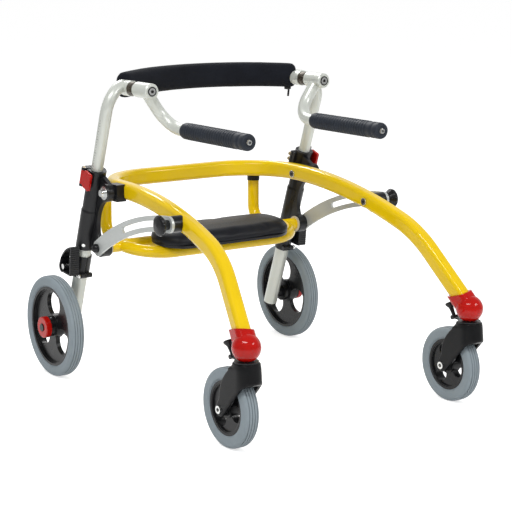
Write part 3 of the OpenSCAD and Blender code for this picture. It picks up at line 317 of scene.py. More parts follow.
def sleeve_cloth(name, colour):
    """Black knitted sleeve with a fine weave and lint."""
    f = Finish(name)
    x, y, z = f.axes()
    warp = (z * 5200).sine() * 0.5 + 0.5
    weft = ((x * 4600).sine() * (y * 4600).sine()) * 0.5 + 0.5
    weave = warp * weft
    lint = f.band(f.noise(340, 5, 0.7), 0.6, 0.78)
    cloud = f.noise(16, 4)
    base = f.mix(f.band(cloud, 0.3, 0.7), shade(colour, 0.8), shade(colour, 1.5))
    f.surface(
        Base_Color=f.mix(lint * 0.25, f.mix(weave * 0.5, base, shade(colour, 2.0)), (0.05, 0.05, 0.052)),
        Roughness=f.band(weave, 0.0, 1.0, 0.92, 0.8),
        Specular_IOR_Level=0.15, Sheen_Weight=0.04, Sheen_Roughness=0.5,
        Normal=f.bump(weave + f.noise(90, 3) * 1.5, 0.3, 0.0006))
    return f.material


def grained_vinyl(name, colour):
    """Soft black vinyl with leather grain and a low gloss."""
    f = Finish(name)
    pebble = f.cells(520) + f.noise(900, 3) * 0.4
    cloud = f.noise(14, 4)
    f.surface(
        Base_Color=f.mix(f.band(cloud, 0.3, 0.7), shade(colour, 0.8), shade(colour, 1.35)),
        Roughness=f.band(pebble, 0.1, 0.9, 0.34, 0.46),
        Specular_IOR_Level=0.24,
        Normal=f.bump(pebble, 0.22, 0.0005))
    return f.material


FINISHES = {}


def build_finishes(colours):
    """Makes every material once, keyed by finish."""
    black = tuple(colours.mould_black)
    red = tuple(colours.accent_red)
    silver = tuple(colours.post_silver)
    FINISHES.update(
        yellow=powder_coat("yellow_powder_coat", tuple(colours.frame_yellow)),
        red=gloss_plastic("red_gloss_plastic", red),
        black=grained_plastic("black_moulded_plastic", black),
        rim=grained_plastic("black_rim_plastic", shade(black, 0.7), 0.28, 900, 0.001, 0.24),
        fork=grained_plastic("black_fork_plastic", shade(black, 0.5), 0.36, 900, 0.001, 0.16),
        gloss_black=grained_plastic("black_gloss_plastic", shade(black, 0.8), 0.24, 300, 0.0016, 0.3),
        tyre=tyre_rubber("grey_tyre_rubber", tuple(colours.tyre_grey)),
        silver=satin_metal("silver_coated_tube", silver, 0.25, 0.34),
        plate=satin_metal("silver_link_plate", (0.56, 0.585, 0.57), 0.3, 0.4, (1, 0.05, 1)),
        steel=satin_metal("bright_screw_steel", (0.66, 0.67, 0.66), 1.0, 0.24, (1, 1, 1)),
        # Black steel; on the screw drives this finish is painted shade inside the sockets.
        dark_steel=satin_metal("black_steel_and_socket_shade", (0.03, 0.03, 0.03), 0.8, 0.32, (1, 1, 1)),
        brass=satin_metal("pale_brass", (0.42, 0.33, 0.19), 0.9, 0.36, (1, 1, 1)),
        bronze=satin_metal("dark_bronze", (0.075, 0.06, 0.042), 0.6, 0.42, (1, 1, 1)),
        cream=grained_plastic("cream_bush_plastic", (0.58, 0.52, 0.4), 0.4),
        rubber=rubber("black_cap_rubber", (0.012, 0.012, 0.0125)),
        grip=rubber("grip_rubber", (0.017, 0.022, 0.032)),
        ink=rubber("printed_ink", (0.05, 0.055, 0.06)),
        cloth=sleeve_cloth("black_sleeve_cloth", tuple(colours.cover_black)),
        vinyl=grained_vinyl("black_seat_vinyl", tuple(colours.cover_black)),
    )


# Mesh helpers


def mesh_piece(name, points, faces, smooth=True):
    """New mesh object with its place in its mesh."""
    data = bpy.data.meshes.new(name)
    data.from_pydata([tuple(p) for p in points], [], faces)
    data.update()
    piece = bpy.data.objects.new(name, data)
    bpy.context.scene.collection.objects.link(piece)
    return smooth_faces(piece) if smooth else piece


def smooth_faces(piece):
    """Shades all faces of a piece smooth."""
    piece.data.polygons.foreach_set("use_smooth", [True] * len(piece.data.polygons))
    return piece


def points_of(piece):
    """Vertices of a piece as an array of rows."""
    return np.array([v.co for v in piece.data.vertices])


def move_points(piece, points):
    """Puts the vertices of a piece at new places."""
    piece.data.vertices.foreach_set("co", points.astype(np.float32).ravel())


def moved(matrix, points):
    """Rows of points moved by a 4 x 4 matrix."""
    rows = np.array(matrix)
    return points @ rows[:3, :3].T + rows[:3, 3]


def outward(piece):
    """Merges doubles and turns the faces outwards."""
    bm = bmesh.new()
    bm.from_mesh(piece.data)
    bmesh.ops.remove_doubles(bm, verts=bm.verts, dist=1e-6)
    bmesh.ops.recalc_face_normals(bm, faces=bm.faces)
    bm.to_mesh(piece.data)
    bm.free()
    return piece


def paint(piece, finish):
    """Gives a piece one finish."""
    piece.data.materials.clear()
    piece.data.materials.append(FINISHES[finish])
    return piece


def dress(piece, body, finish, slot, *nodes):
    """Gives a piece its finish and body, and hides the nodes it stands for; the slot is not used."""
    paint(piece, finish)
    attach(piece, body)
    if nodes:
        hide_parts(*nodes)
    return piece


def loft(name, rings, closed_ends=True):
    """Skin over rings of points that all have the same count."""
    count = len(rings[0])
    points = [p for ring in rings for p in ring]
    faces = []
    for i in range(len(rings) - 1):
        for j in range(count):
            k = (j + 1) % count
            faces.append((i * count + j, i * count + k, (i + 1) * count + k, (i + 1) * count + j))
    if closed_ends:
        faces.append(tuple(reversed(range(count))))
        faces.append(tuple(range((len(rings) - 1) * count, len(rings) * count)))
    return outward(mesh_piece(name, points, faces))


def plain_copy(piece):
    """Evaluated mesh of a piece as a plain mesh, with its modifiers removed."""
    graph = bpy.context.evaluated_depsgraph_get()
    data = bpy.data.meshes.new_from_object(piece.evaluated_get(graph))
    piece.modifiers.clear()
    piece.data = data
    return piece


def blown_up(piece, voxel, pressure, cap, frames=20):
    """Voxel remesh, a short pressure simulation with a cap on the movement, and one subdivision."""
    remesh = piece.modifiers.new("remesh", "REMESH")
    remesh.mode, remesh.voxel_size = "VOXEL", voxel
    plain_copy(piece)
    before = points_of(piece)
    cloth = piece.modifiers.new("cloth", "CLOTH")
    cloth.settings.use_pressure = True
    cloth.settings.uniform_pressure_force = pressure
    cloth.settings.effector_weights.gravity = 0
    cloth.settings.tension_stiffness = cloth.settings.compression_stiffness = 15
    cloth.settings.bending_stiffness = 0.6
    cloth.point_cache.frame_start, cloth.point_cache.frame_end = 1, frames
    scene = bpy.context.scene
    for number in range(1, frames + 1):
        scene.frame_set(number)
    plain_copy(piece)
    scene.frame_set(1)
    move = points_of(piece) - before
    length = np.linalg.norm(move, axis=1, keepdims=True)
    move *= np.minimum(1, cap / np.maximum(length, 1e-9))
    move_points(piece, before + move)
    smooth = piece.modifiers.new("smooth", "SMOOTH")
    smooth.iterations = 3
    subdivide = piece.modifiers.new("subdivide", "SUBSURF")
    subdivide.levels = subdivide.render_levels = 1
    return smooth_faces(plain_copy(piece))


# Geometry Nodes


class Tree:
    """Geometry Nodes tree with named inputs and one method that adds any node."""

    def __init__(self, name, inputs):
        self.group = bpy.data.node_groups.new(name, "GeometryNodeTree")
        face = self.group.interface
        face.new_socket("Geometry", in_out="INPUT", socket_type="NodeSocketGeometry")
        self.names = {}
        for label, kind, default in inputs:
            made = face.new_socket(label, in_out="INPUT", socket_type=kind)
            if default is not None:
                made.default_value = default
            self.names[label] = made.identifier
        face.new_socket("Geometry", in_out="OUTPUT", socket_type="NodeSocketGeometry")
        self.source = self.group.nodes.new("NodeGroupInput")
        self.sink = self.group.nodes.new("NodeGroupOutput")

    def node(self, kind, settings=None, sockets=None):
        made = self.group.nodes.new(kind)
        for key, value in (settings or {}).items():
            setattr(made, key, value)
        for key, value in (sockets or {}).items():
            if isinstance(value, bpy.types.NodeSocket):
                self.group.links.new(value, made.inputs[key])
            else:
                made.inputs[key].default_value = value
        return made

    def close(self, geometry, material):
        """Realizes instances, sets the material and ends the tree."""
        real = self.node("GeometryNodeRealizeInstances", {}, {0: geometry}).outputs[0]
        done = self.node("GeometryNodeSetMaterial", {}, {0: real, "Material": material}).outputs[0]
        self.group.links.new(done, self.sink.inputs[0])

    def run(self, piece, values):
        """Runs the tree on a piece and keeps the result as a plain mesh."""
        modifier = piece.modifiers.new("tree", "NODES")
        modifier.node_group = self.group
        for label, value in values.items():
            modifier[self.names[label]] = value
        return plain_copy(piece)


def rib_tree(material):
    """Ring ribs along +Z: a round bead on a circle, repeated along a line."""
    t = Tree("grip_ribs", [("Count", "NodeSocketInt", 20), ("Pitch", "NodeSocketFloat", 0.005),
                           ("Radius", "NodeSocketFloat", 0.0135), ("Bead", "NodeSocketFloat", 0.0015)])
    get = t.source.outputs
    step = t.node("ShaderNodeCombineXYZ", {}, {2: get["Pitch"]}).outputs[0]
    line = t.node("GeometryNodeMeshLine", {}, {"Count": get["Count"], "Offset": step}).outputs[0]
    kind = "GeometryNodeCurvePrimitiveCircle"
    circle = t.node(kind, {}, {"Resolution": 40, "Radius": get["Radius"]}).outputs[0]
    bead = t.node(kind, {}, {"Resolution": 8, "Radius": get["Bead"]}).outputs[0]
    ring = t.node("GeometryNodeCurveToMesh", {}, {"Curve": circle, "Profile Curve": bead}).outputs[0]
    copies = t.node("GeometryNodeInstanceOnPoints", {}, {"Points": line, "Instance": ring}).outputs[0]
    both = t.node("GeometryNodeJoinGeometry")
    t.group.links.new(copies, both.inputs[0])
    t.group.links.new(get["Geometry"], both.inputs[0])
    t.close(both.outputs[0], material)
    return t


def head_tree(name, material, sides):
    """Screw heads: a washer-faced disc with a sunk drive, on each point, along its axis attribute."""
    t = Tree(name, [("Radius", "NodeSocketFloat", 0.004), ("Height", "NodeSocketFloat", 0.002)])
    get = t.source.outputs

    def extruded(mesh, top, offset):
        return t.node("GeometryNodeExtrudeMesh", {"mode": "FACES"},
                      {"Mesh": mesh, "Selection": top, "Offset Scale": offset})

    def scaled(mesh, top, scale):
        made = t.node("GeometryNodeScaleElements", {}, {"Geometry": mesh, "Selection": top, "Scale": scale})
        return made.outputs[0]

    disc = t.node("GeometryNodeMeshCylinder", {},
                  {"Vertices": sides, "Radius": get["Radius"], "Depth": get["Height"]})
    rim = extruded(disc.outputs["Mesh"], disc.outputs["Top"], 0.0005)
    flat = extruded(scaled(rim.outputs["Mesh"], rim.outputs["Top"], 0.86), rim.outputs["Top"], 0.0)
    sunk = extruded(scaled(flat.outputs["Mesh"], flat.outputs["Top"], 0.52), flat.outputs["Top"], -0.0016)
    axis = t.node("GeometryNodeInputNamedAttribute", {"data_type": "FLOAT_VECTOR"}, {"Name": "axis"})
    turn = t.node("FunctionNodeAlignEulerToVector", {"axis": "Z"}, {"Vector": axis.outputs[0]}).outputs[0]
    copies = t.node("GeometryNodeInstanceOnPoints", {},
                    {"Points": get["Geometry"], "Instance": sunk.outputs["Mesh"], "Rotation": turn})
    t.close(copies.outputs[0], material)
    return t


def tick_tree(material):
    """Printed graduations up +Z: thin dashes on a line, each fifth one wider."""
    t = Tree("post_ticks", [("Count", "NodeSocketInt", 20), ("Pitch", "NodeSocketFloat", 0.005),
                            ("Width", "NodeSocketFloat", 0.003), ("Line", "NodeSocketFloat", 0.0007)])
    get = t.source.outputs
    step = t.node("ShaderNodeCombineXYZ", {}, {2: get["Pitch"]}).outputs[0]
    line = t.node("GeometryNodeMeshLine", {}, {"Count": get["Count"], "Offset": step}).outputs[0]
    size = t.node("ShaderNodeCombineXYZ", {}, {0: 0.0003, 1: get["Width"], 2: get["Line"]}).outputs[0]
    dash = t.node("GeometryNodeMeshCube", {}, {"Size": size, "Vertices Y": 4}).outputs[0]
    index = t.node("GeometryNodeInputIndex").outputs[0]
    fifth = t.node("ShaderNodeMath", {"operation": "MODULO"}, {0: index, 1: 5.0}).outputs[0]
    short = t.node("ShaderNodeMath", {"operation": "GREATER_THAN"}, {0: fifth, 1: 0.5}).outputs[0]
    wide = t.node("ShaderNodeMath", {"operation": "SUBTRACT"}, {0: 1.7, 1: short}).outputs[0]
    scale = t.node("ShaderNodeCombineXYZ", {}, {0: 1.0, 1: wide, 2: 1.0}).outputs[0]
    copies = t.node("GeometryNodeInstanceOnPoints", {}, {"Points": line, "Instance": dash, "Scale": scale})
    t.close(copies.outputs[0], material)
    return t


def screw_heads(name, tree, places, radius, height):
    """One mesh of screw heads at (point, axis) places."""
    piece = mesh_piece(name, [p for p, _ in places], [], False)
    axis = piece.data.attributes.new("axis", "FLOAT_VECTOR", "POINT")
    axis.data.foreach_set("vector", [c for _, a in places for c in a])
    return tree.run(piece, {"Radius": radius, "Height": height})


# Operators


def centre(node):
    """Middle of a node's box."""
    low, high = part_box(node)
    return (low + high) / 2


class WALKER_OT_finishes(bpy.types.Operator):
    """Make the materials and give every solid its finish"""

    bl_idname = "walker.finishes"
    bl_label = "Finishes"

    def execute(self, context):
        build_finishes(context.scene.walker_colours)
        plain = {
            "yellow": ["frame_tube", "seat_frame"],
            "black": ["swivel_bearings", "link_saddles", "pivot_saddles", "leg_caps", "axle_spacers",
                      "seat_board"],
            "gloss_black": ["link_pins"],
            "steel": ["pivot_bolts", "link_bolts", "clamp_screws"],
            "dark_steel": ["rear_axles"],
            "brass": ["lever_pins"],
            "bronze": ["joint_rings"],
            "cream": ["seat_bushes"],
            "silver": ["handlebar_tube"],
            "rubber": ["post_caps"],
            "cloth": ["backrest_pad"],
            "vinyl": ["seat_cushion"],
        }
        sided = {
            "red": ["caster_ball", "clamp_lever", "hub_cap"],
            "black": ["bracket", "brake_clamp", "brake_cam", "caster_fork"],
            "gloss_black": ["knob", "swivel_lock"],
            "rim": ["rear_rim", "front_rim"],
            "silver": ["rear_leg", "handle"],
            "grip": ["grip"],
            "steel": ["handle_screws", "front_axle"],
            "plate": ["slotted_link"],
            "tyre": ["rear_tyre", "front_tyre"],
        }
        for finish, names in sided.items():
            plain.setdefault(finish, []).extend(f"{n}_{side}" for n in names for side in SIDES)
        for finish, names in plain.items():
            for name in names:
                paint(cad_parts[name], finish)
        return {"FINISHED"}


class WALKER_OT_backrest(bpy.types.Operator):
    """Build the padded backrest sleeve"""

    bl_idname = "walker.backrest"
    bl_label = "Backrest pad"

    def execute(self, context):
        sizes = context.scene.walker_sizes
        low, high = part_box("backrest_pad")
        half = (high.x - low.x) / 2
        reach = sizes.bow_angle - math.radians(0.8)
        radius = half / math.sin(sizes.bow_angle)
        mid_y = high.y - sizes.pad_depth / 2
        droop, margin, square = 0.005, 0.0005, 0.75
        rings = []
        for i in range(61):
            t = i / 30 - 1
            angle = t * reach
            mid_z = high.z - sizes.pad_height / 2 - droop * t * t
            full = (1 - 0.08 * t ** 4) * (1 - 0.25 * max(0, abs(t) - 0.97) / 0.03)
            ring = []
            for j in range(32):
                q = j * math.tau / 32
                c, s = math.cos(q), math.sin(q)
                r = radius + full * (sizes.pad_depth / 2 - margin) * math.copysign(abs(c) ** square, c)
                z = full * (sizes.pad_height / 2 - margin) * math.copysign(abs(s) ** square, s)
                ring.append((r * math.sin(angle), mid_y - radius + r * math.cos(angle), mid_z + z))
            rings.append(ring)
        pad = blown_up(loft("backrest_sleeve", rings), sizes.voxel, 3.0, 0.0015)
        dress(pad, "handlebar", "cloth", "black_fabric", "backrest_pad")
        return {"FINISHED"}


class WALKER_OT_cushion(bpy.types.Operator):
    """Build the vinyl seat cushion with its crown"""

    bl_idname = "walker.cushion"
    bl_label = "Seat cushion"

    def execute(self, context):
        sizes = context.scene.walker_sizes
        low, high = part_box("seat_board")
        middle = (low + high) / 2
        slope = Matrix.Rotation(sizes.seat_slope, 4, "X")
        place = Matrix.Translation(middle) @ slope @ Matrix.Translation((0, 0, 0.0026))
        margin, underside = 0.003, -0.236
        half_l, half_w = sizes.cushion_length / 2 - margin, sizes.cushion_width / 2 - margin
        height = sizes.cushion_height
        rings = []
        levels = [(underside, 0.78), (underside, 0.9), (-0.18, 0.945), (-0.08, 0.95)]
        for step in range(11):
            v = step / 10
            levels.append((0.92 * math.sin(v * math.pi / 2),
                           1 - 0.55 * (1 - math.cos(v * math.pi / 2)) - 0.05 * (1 - v) ** 4))
        levels.append((0.99, 0.15))
        for up, fill in levels:
            ring = []
            inset = (1 - fill) * half_w
            for j in range(96):
                q = j * math.tau / 96
                c, s = math.cos(q), math.sin(q)
                b = half_w - inset
                x = math.copysign((half_l - half_w) * min(1, abs(c) * 2.2), c) + b * c
                ring.append(place @ Vector((x, b * s, up * height)))
            rings.append(ring)
        cushion = blown_up(loft("seat_cover", rings), sizes.voxel, 3.0, 0.003)
        local = moved(place.inverted(), points_of(cushion))
        local[:, 2] = np.maximum(local[:, 2], underside * height)
        move_points(cushion, moved(place, local))
        dress(cushion, "seat", "vinyl", "black_vinyl", "seat_cushion")
        return {"FINISHED"}


class WALKER_OT_grips(bpy.types.Operator):
    """Build the ribbed grips"""

    bl_idname = "walker.grips"
    bl_label = "Grips"

    def execute(self, context):
        sizes = context.scene.walker_sizes
        tree = rib_tree(FINISHES["grip"])
        for side in SIDES:
            low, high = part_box(f"grip_{side}")
            radius, length = (high.x - low.x) / 2, high.y - low.y
            full, waist = radius, radius * 0.965
            waist_end, neck = length - 0.026, waist * 0.98
            outline = [(0.0, 0.0), (full * 0.8, 0.0), (full * 0.93, 0.0015), (full, 0.005),
                       (full, 0.012), (waist, 0.014),
                       (waist, waist_end), (full, length - 0.024), (full, length - 0.0185),
                       (neck, length - 0.017), (neck, length - 0.0145), (full, length - 0.0125),
                       (full, length - 0.004), (full * 0.94, length - 0.001), (full * 0.86, length),
                       (full * 0.6, length), (full * 0.56, length - 0.0013), (full * 0.44, length - 0.0013),
                       (full * 0.4, length - 0.0003), (0.0, length - 0.0003)]
            rings = [[(max(r, 1e-4) * math.cos(q), max(r, 1e-4) * math.sin(q), z)
                      for q in (k * math.tau / 48 for k in range(48))] for r, z in outline]
            grip = loft(f"ribbed_grip_{side}", rings)
            first = 0.019
            count = int((waist_end - first - 0.003) / sizes.rib_pitch) + 1
            grip.data.transform(Matrix.Translation((0, 0, -first)))
            tree.run(grip, {"Count": count, "Pitch": sizes.rib_pitch, "Radius": waist, "Bead": 0.0009})
            grip.data.transform(Matrix.Translation((0, 0, first)))
            middle = centre(f"grip_{side}")
            forward = Matrix.Rotation(math.pi / 2, 4, "X")
            grip.data.transform(Matrix.Translation((middle.x, high.y, middle.z)) @ forward)
            smooth_faces(grip)
            dress(grip, f"handle_{side}", "grip", "black_rubber", f"grip_{side}")
        return {"FINISHED"}


class WALKER_OT_forks(bpy.types.Operator):
    """Build the moulded skins of the caster forks, with the hood flowing into the blades"""

    bl_idname = "walker.forks"
    bl_label = "Caster forks"

    def execute(self, context):
        sizes = context.scene.walker_sizes
        neck, neck_depth, flare_depth, squareness = 0.0222, 0.014, 0.035, 2.5
        belly_out, belly_start, belly_length = 0.011, 0.004, 0.066
        for side in SIDES:
            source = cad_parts[f"caster_fork_{side}"]
            data = source.data.copy()
            data.transform(source.matrix_world)
            fork = bpy.data.objects.new(f"moulded_fork_{side}", data)
            context.scene.collection.objects.link(fork)
            remesh = fork.modifiers.new("remesh", "REMESH")
            remesh.mode, remesh.voxel_size = "VOXEL", 0.0012
            plain_copy(fork)
            low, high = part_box(f"caster_fork_{side}")
            axis = np.array(((low.x + high.x) / 2, low.y + sizes.hood_radius, high.z - sizes.stem_length))
            place = points_of(fork) - axis
            depth = -place[:, 2]
            long = neck + (sizes.hood_radius - neck) * np.clip(depth / flare_depth, 0, 1)
            short = np.minimum(long, sizes.blade_face)
            fore = np.where(depth < 0.008, place[:, 1], np.minimum(place[:, 1], 0))
            size = ((np.abs(place[:, 0]) / short) ** squareness
                    + (np.abs(fore) / long) ** squareness) ** (1 / squareness)
            shell = (depth > -0.0005) & ((size > 1) | ((depth < neck_depth) & (size > 0.72)))
            scale = np.where(shell, 1 / np.maximum(size, 0.01), 1)
            place[:, 0] *= scale
            place[:, 1] += fore * (scale - 1)
            belly = belly_out * np.sin(np.clip((depth - belly_start) / belly_length, 0, 1) * math.pi)
            place[:, 1] += belly * np.clip((place[:, 1] - 0.004) / 0.014, 0, 1)
            move_points(fork, place + axis)
            smooth = fork.modifiers.new("smooth", "SMOOTH")
            smooth.iterations = 14
            smooth_faces(plain_copy(fork))
            dress(fork, f"fork_{side}", "fork", "black_plastic", f"caster_fork_{side}")
        return {"FINISHED"}


def joint_axis(side):
    """Axis of a handle joint at the front of its toothed ring."""
    low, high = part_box("joint_rings")
    radius = (high.z - low.z) / 2
    return Vector((SIDE_SIGN[side] * (high.x - radius), low.y, (low.z + high.z) / 2))


def ring_piece(name, at, axis, radius, tube, around=40, section=10):
    """Round ring about an axis."""
    turn = Vector(axis).to_track_quat("Z", "Y").to_matrix().to_4x4()
    rings = []
    for i in range(around + 1):
        a = i * math.tau / around
        ring = []
        for k in range(section):
            q = k * math.tau / section
            out = radius + tube * math.cos(q)
            point = Vector((out * math.cos(a), out * math.sin(a), tube * math.sin(q)))
            ring.append(Matrix.Translation(at) @ turn @ point)
        rings.append(ring)
    return loft(name, rings, False)


class WALKER_OT_fittings(bpy.types.Operator):
    """Build the drive sockets of the screws as dark pieces that paint the shade inside them, their collars
    and washers, and the seals of the handle joints
    """

    bl_idname = "walker.fittings"
    bl_label = "Fittings"

    def execute(self, context):
        # The drives are dark discs set in the screw sockets: painted shade of the socket hollows.
        socket = head_tree("socket_shade_drives", FINISHES["dark_steel"], 6)
        ahead = Vector((0, -1, 0))
        for side in SIDES:
            low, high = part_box(f"front_axle_{side}")
            y, z = (low.y + high.y) / 2, (low.z + high.z) / 2
            drives = screw_heads(f"axle_drives_{side}", socket,
                                 [((high.x, y, z), (1, 0, 0)), ((low.x, y, z), (-1, 0, 0))], 0.0036, 0.0006)
            dress(drives, f"fork_{side}", "dark_steel", "bright_metal")
            front = joint_axis(side) + 0.0503 * ahead
            places = [(front + 0.0011 * ahead, ahead)]
            drive = screw_heads(f"joint_drive_{side}", socket, places, 0.0034, 0.0005)
            dress(drive, f"handle_{side}", "dark_steel", "bright_metal")
            seal = ring_piece(f"joint_seal_{side}", front + 0.0006 * ahead, ahead, 0.0078, 0.0012)
            dress(seal, f"handle_{side}", "rubber", "black_rubber")
            low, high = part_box(f"grip_{side}")
            end = Vector(((low.x + high.x) / 2, low.y, (low.z + high.z) / 2))
            washer = ring_piece(f"grip_washer_{side}", end, ahead, 0.0037, 0.0011)
            dress(washer, f"handle_{side}", "cream", "cream_plastic")
            drive = screw_heads(f"grip_drive_{side}", socket, [(end + 0.0023 * ahead, ahead)], 0.0026, 0.0004)
            dress(drive, f"handle_{side}", "dark_steel", "bright_metal")
        for name in ("pivot_bolts", "link_bolts"):
            low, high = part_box(name)
            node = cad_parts[name]
            inner = min(abs((node.matrix_world @ v.co).x) for v in node.data.vertices)
            for side in SIDES:
                out = Vector((SIDE_SIGN[side], 0, 0))
                end = Vector((SIDE_SIGN[side] * inner, (low.y + high.y) / 2, (low.z + high.z) / 2))
                collar = ring_piece(f"{name}_collar_{side}", end + 0.0006 * out, -out, 0.0048, 0.0015)
                dress(collar, "main_frame", "bronze", "bright_metal")
                # Dark drive disc at the bolt end: painted shade of the hex socket.
                places = [(end + 0.0002 * out, -out)]
                drive = screw_heads(f"{name}_drive_{side}", socket, places, 0.0034, 0.0005)
                dress(drive, "main_frame", "dark_steel", "bright_metal")
        return {"FINISHED"}


class WALKER_OT_ticks(bpy.types.Operator):
    """Print the height graduations on the posts"""

    bl_idname = "walker.ticks"
    bl_label = "Post graduations"

    def execute(self, context):
        tree = tick_tree(FINISHES["ink"])
        first_tick, turn, raised = 0.323, math.radians(-12), 0.000015
        for side in SIDES:
            piece = mesh_piece(f"post_ticks_{side}", [(0, 0, 0)], [], False)
            tree.run(piece, {"Count": 23, "Pitch": 0.0055, "Width": 0.0026, "Line": 0.0007})
            points = points_of(piece)
            angle = points[:, 1] / POST_RADIUS + turn
            radius = POST_RADIUS + raised + points[:, 0] - points[:, 0].max()
            up = points[:, 2] + first_tick
            local = np.stack([radius * np.cos(angle), radius * np.sin(angle), up], axis=1)
            world = moved(Matrix.Translation(LEG_FOOT) @ Matrix.Rotation(LEG_LEAN, 4, "X"), local)
            world[:, 0] *= SIDE_SIGN[side]
            move_points(piece, world)
            outward(piece)
            dress(piece, "handlebar", "ink", "black_plastic")
        return {"FINISHED"}


class WALKER_OT_zip(bpy.types.Operator):
    """Build the zip slider and pull at the end of the backrest sleeve"""

    bl_idname = "walker.zip"
    bl_label = "Zip pull"

    def execute(self, context):
        low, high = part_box("backrest_pad")
        half = (high.x - low.x) / 2
        at = Vector((half - 0.018, low.y + 0.021, low.z - 0.001))
        bm = bmesh.new()
        slider = Matrix.Translation(at) @ Matrix.Diagonal((0.012, 0.008, 0.006, 1))
        bmesh.ops.create_cube(bm, size=1, matrix=slider)
        bmesh.ops.bevel(bm, geom=bm.edges[:], offset=0.0012, segments=3, profile=0.5, affect="EDGES")
        hung = Matrix.Translation(at + Vector((0.002, 0, -0.0095))) @ Matrix.Rotation(0.12, 4, "Y")
        tab = bmesh.ops.create_cube(bm, size=1, matrix=hung @ Matrix.Diagonal((0.0045, 0.0014, 0.015, 1)))
        edges = {e for v in tab["verts"] for e in v.link_edges}
        bmesh.ops.bevel(bm, geom=list(edges), offset=0.0004, segments=2, profile=0.5, affect="EDGES")
        data = bpy.data.meshes.new("zip_pull")
        bm.to_mesh(data)
        bm.free()
        pull = bpy.data.objects.new("zip_pull", data)
        context.scene.collection.objects.link(pull)
        dress(outward(pull), "handlebar", "dark_steel", "bright_metal")
        return {"FINISHED"}


def node_math(tree, operation, a, b):
    """Output of one Math node fed by sockets or numbers."""
    made = tree.nodes.new("ShaderNodeMath")
    made.operation = operation
    for socket, value in zip(made.inputs, (a, b)):
        if isinstance(value, (int, float)):
            socket.default_value = value
        else:
            tree.links.new(value, socket)
    return made.outputs[0]


def toward_backdrop(tree, vector, low, high):
    """Socket that rises from 0 to 1 as a vector turns toward the white backdrop."""
    facing = tree.nodes.new("ShaderNodeVectorMath")
    facing.operation = "DOT_PRODUCT"
    facing.inputs[1].default_value = BACKDROP
    tree.links.new(vector, facing.inputs[0])
    share = tree.nodes.new("ShaderNodeMapRange")
    share.inputs["From Min"].default_value, share.inputs["From Max"].default_value = low, high
    tree.links.new(facing.outputs["Value"], share.inputs["Value"])
    return share.outputs[0]


def seen_rays(tree, share):
    """Socket that is 1 for camera rays and the given share for glossy and transmission rays."""
    path = tree.nodes.new("ShaderNodeLightPath")
    mirrored = node_math(tree, "MAXIMUM", path.outputs["Is Glossy Ray"], path.outputs["Is Transmission Ray"])
    part = node_math(tree, "MULTIPLY", mirrored, share)
    return node_math(tree, "MAXIMUM", path.outputs["Is Camera Ray"], part)


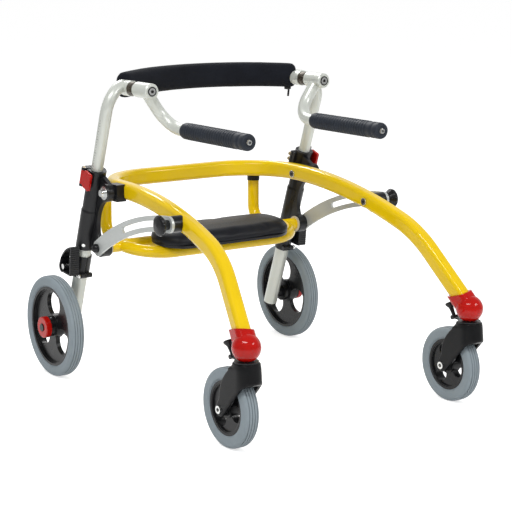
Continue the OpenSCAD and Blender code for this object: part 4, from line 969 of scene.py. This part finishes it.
class WALKER_OT_stage(bpy.types.Operator):
    """Build the floor, the lights, the world and the camera"""

    bl_idname = "walker.stage"
    bl_label = "Studio"

    def execute(self, context):
        scene = context.scene
        scene.view_settings.view_transform = "Standard"
        corners = [(-30, -30, 0), (30, -30, 0), (30, 30, 0), (-30, 30, 0)]
        floor = mesh_piece("studio_floor", corners, [(0, 1, 2, 3)], False)
        material = bpy.data.materials.new("pale_floor")
        material.use_nodes = True
        tree = material.node_tree
        tree.nodes.clear()
        cover = tree.nodes.new("ShaderNodeBsdfDiffuse")
        cover.inputs["Color"].default_value = (0.8, 0.8, 0.8, 1)
        glow = tree.nodes.new("ShaderNodeEmission")
        spot = tree.nodes.new("ShaderNodeVectorMath")
        spot.operation = "SUBTRACT"
        spot.inputs[1].default_value = VIEWPOINT
        tree.links.new(tree.nodes.new("ShaderNodeNewGeometry").outputs["Position"], spot.inputs[0])
        heading = tree.nodes.new("ShaderNodeVectorMath")
        heading.operation = "NORMALIZE"
        tree.links.new(spot.outputs[0], heading.inputs[0])
        seen = seen_rays(tree, toward_backdrop(tree, heading.outputs[0], 0.88, 0.97))
        tree.links.new(node_math(tree, "MULTIPLY", seen, 0.66), glow.inputs["Strength"])
        both = tree.nodes.new("ShaderNodeAddShader")
        tree.links.new(cover.outputs[0], both.inputs[0])
        tree.links.new(glow.outputs[0], both.inputs[1])
        tree.links.new(both.outputs[0], tree.nodes.new("ShaderNodeOutputMaterial").inputs["Surface"])
        floor.data.materials.append(material)

        world = bpy.data.worlds.new("studio_world")
        scene.world = world
        world.use_nodes = True
        tree = world.node_tree
        tree.nodes.clear()
        mix = tree.nodes.new("ShaderNodeMixShader")
        way = tree.nodes.new("ShaderNodeTexCoord").outputs["Generated"]
        tree.links.new(seen_rays(tree, toward_backdrop(tree, way, 0.1, 0.75)), mix.inputs[0])
        for socket, strength in ((1, 0.42), (2, 1.0)):
            sky = tree.nodes.new("ShaderNodeBackground")
            sky.inputs["Strength"].default_value = strength
            sky.inputs["Color"].default_value = (1, 1, 1, 1)
            tree.links.new(sky.outputs[0], mix.inputs[socket])
        tree.links.new(mix.outputs[0], tree.nodes.new("ShaderNodeOutputWorld").inputs["Surface"])

        aim = Vector((0, 0, 0.3))
        for name, at, power, width in (("key", (-1.8, -1.5, 2.9), 60, 2.0),
                                       ("fill", (1.4, -2.6, 2.0), 28, 1.2),
                                       ("back", (0.6, 2.2, 2.4), 34, 1.0)):
            lamp = bpy.data.lights.new(name, "AREA")
            lamp.shape = "RECTANGLE"
            lamp.energy, lamp.size, lamp.size_y = power, width, 0.45
            made = bpy.data.objects.new(name, lamp)
            made.location = at
            made.rotation_euler = (aim - Vector(at)).to_track_quat("-Z", "Y").to_euler()
            scene.collection.objects.link(made)

        lens = bpy.data.cameras.new("photo_view")
        lens.sensor_width, lens.lens = 36.0, 110.1
        lens.shift_x = 0.002
        lens.clip_end = 100
        camera = bpy.data.objects.new("photo_view", lens)
        right, up = Vector((0.8238, -0.5669, 0)), Vector((0.1127, 0.1638, 0.98))
        turn = Matrix((right, up, -Vector(BACKDROP))).transposed().to_4x4()
        camera.matrix_world = Matrix.Translation(VIEWPOINT) @ turn
        scene.collection.objects.link(camera)
        scene.camera = camera
        return {"FINISHED"}


class WALKER_PT_panel(bpy.types.Panel):
    """Sidebar panel that lists the walker's operators"""

    bl_label = "Walker"
    bl_idname = "WALKER_PT_panel"
    bl_space_type = "VIEW_3D"
    bl_region_type = "UI"
    bl_category = "Walker"

    def draw(self, context):
        for kind in OPERATORS:
            self.layout.operator(kind.bl_idname)
        for group in (context.scene.walker_colours, context.scene.walker_sizes):
            for key in group.__annotations__:
                self.layout.prop(group, key)


OPERATORS = (WALKER_OT_finishes, WALKER_OT_backrest, WALKER_OT_cushion, WALKER_OT_grips, WALKER_OT_forks,
             WALKER_OT_fittings, WALKER_OT_ticks, WALKER_OT_zip, WALKER_OT_stage)
CLASSES = (WalkerColours, WalkerSizes, *OPERATORS, WALKER_PT_panel)


def register():
    for kind in CLASSES:
        bpy.utils.register_class(kind)
    bpy.types.Scene.walker_colours = bpy.props.PointerProperty(type=WalkerColours)
    bpy.types.Scene.walker_sizes = bpy.props.PointerProperty(type=WalkerSizes)


def unregister():
    del bpy.types.Scene.walker_sizes
    del bpy.types.Scene.walker_colours
    for kind in reversed(CLASSES):
        bpy.utils.unregister_class(kind)


def main():
    register()
    for kind in OPERATORS:
        group, name = kind.bl_idname.split(".")
        getattr(getattr(bpy.ops, group), name)()


if __name__ == "__main__":
    main()
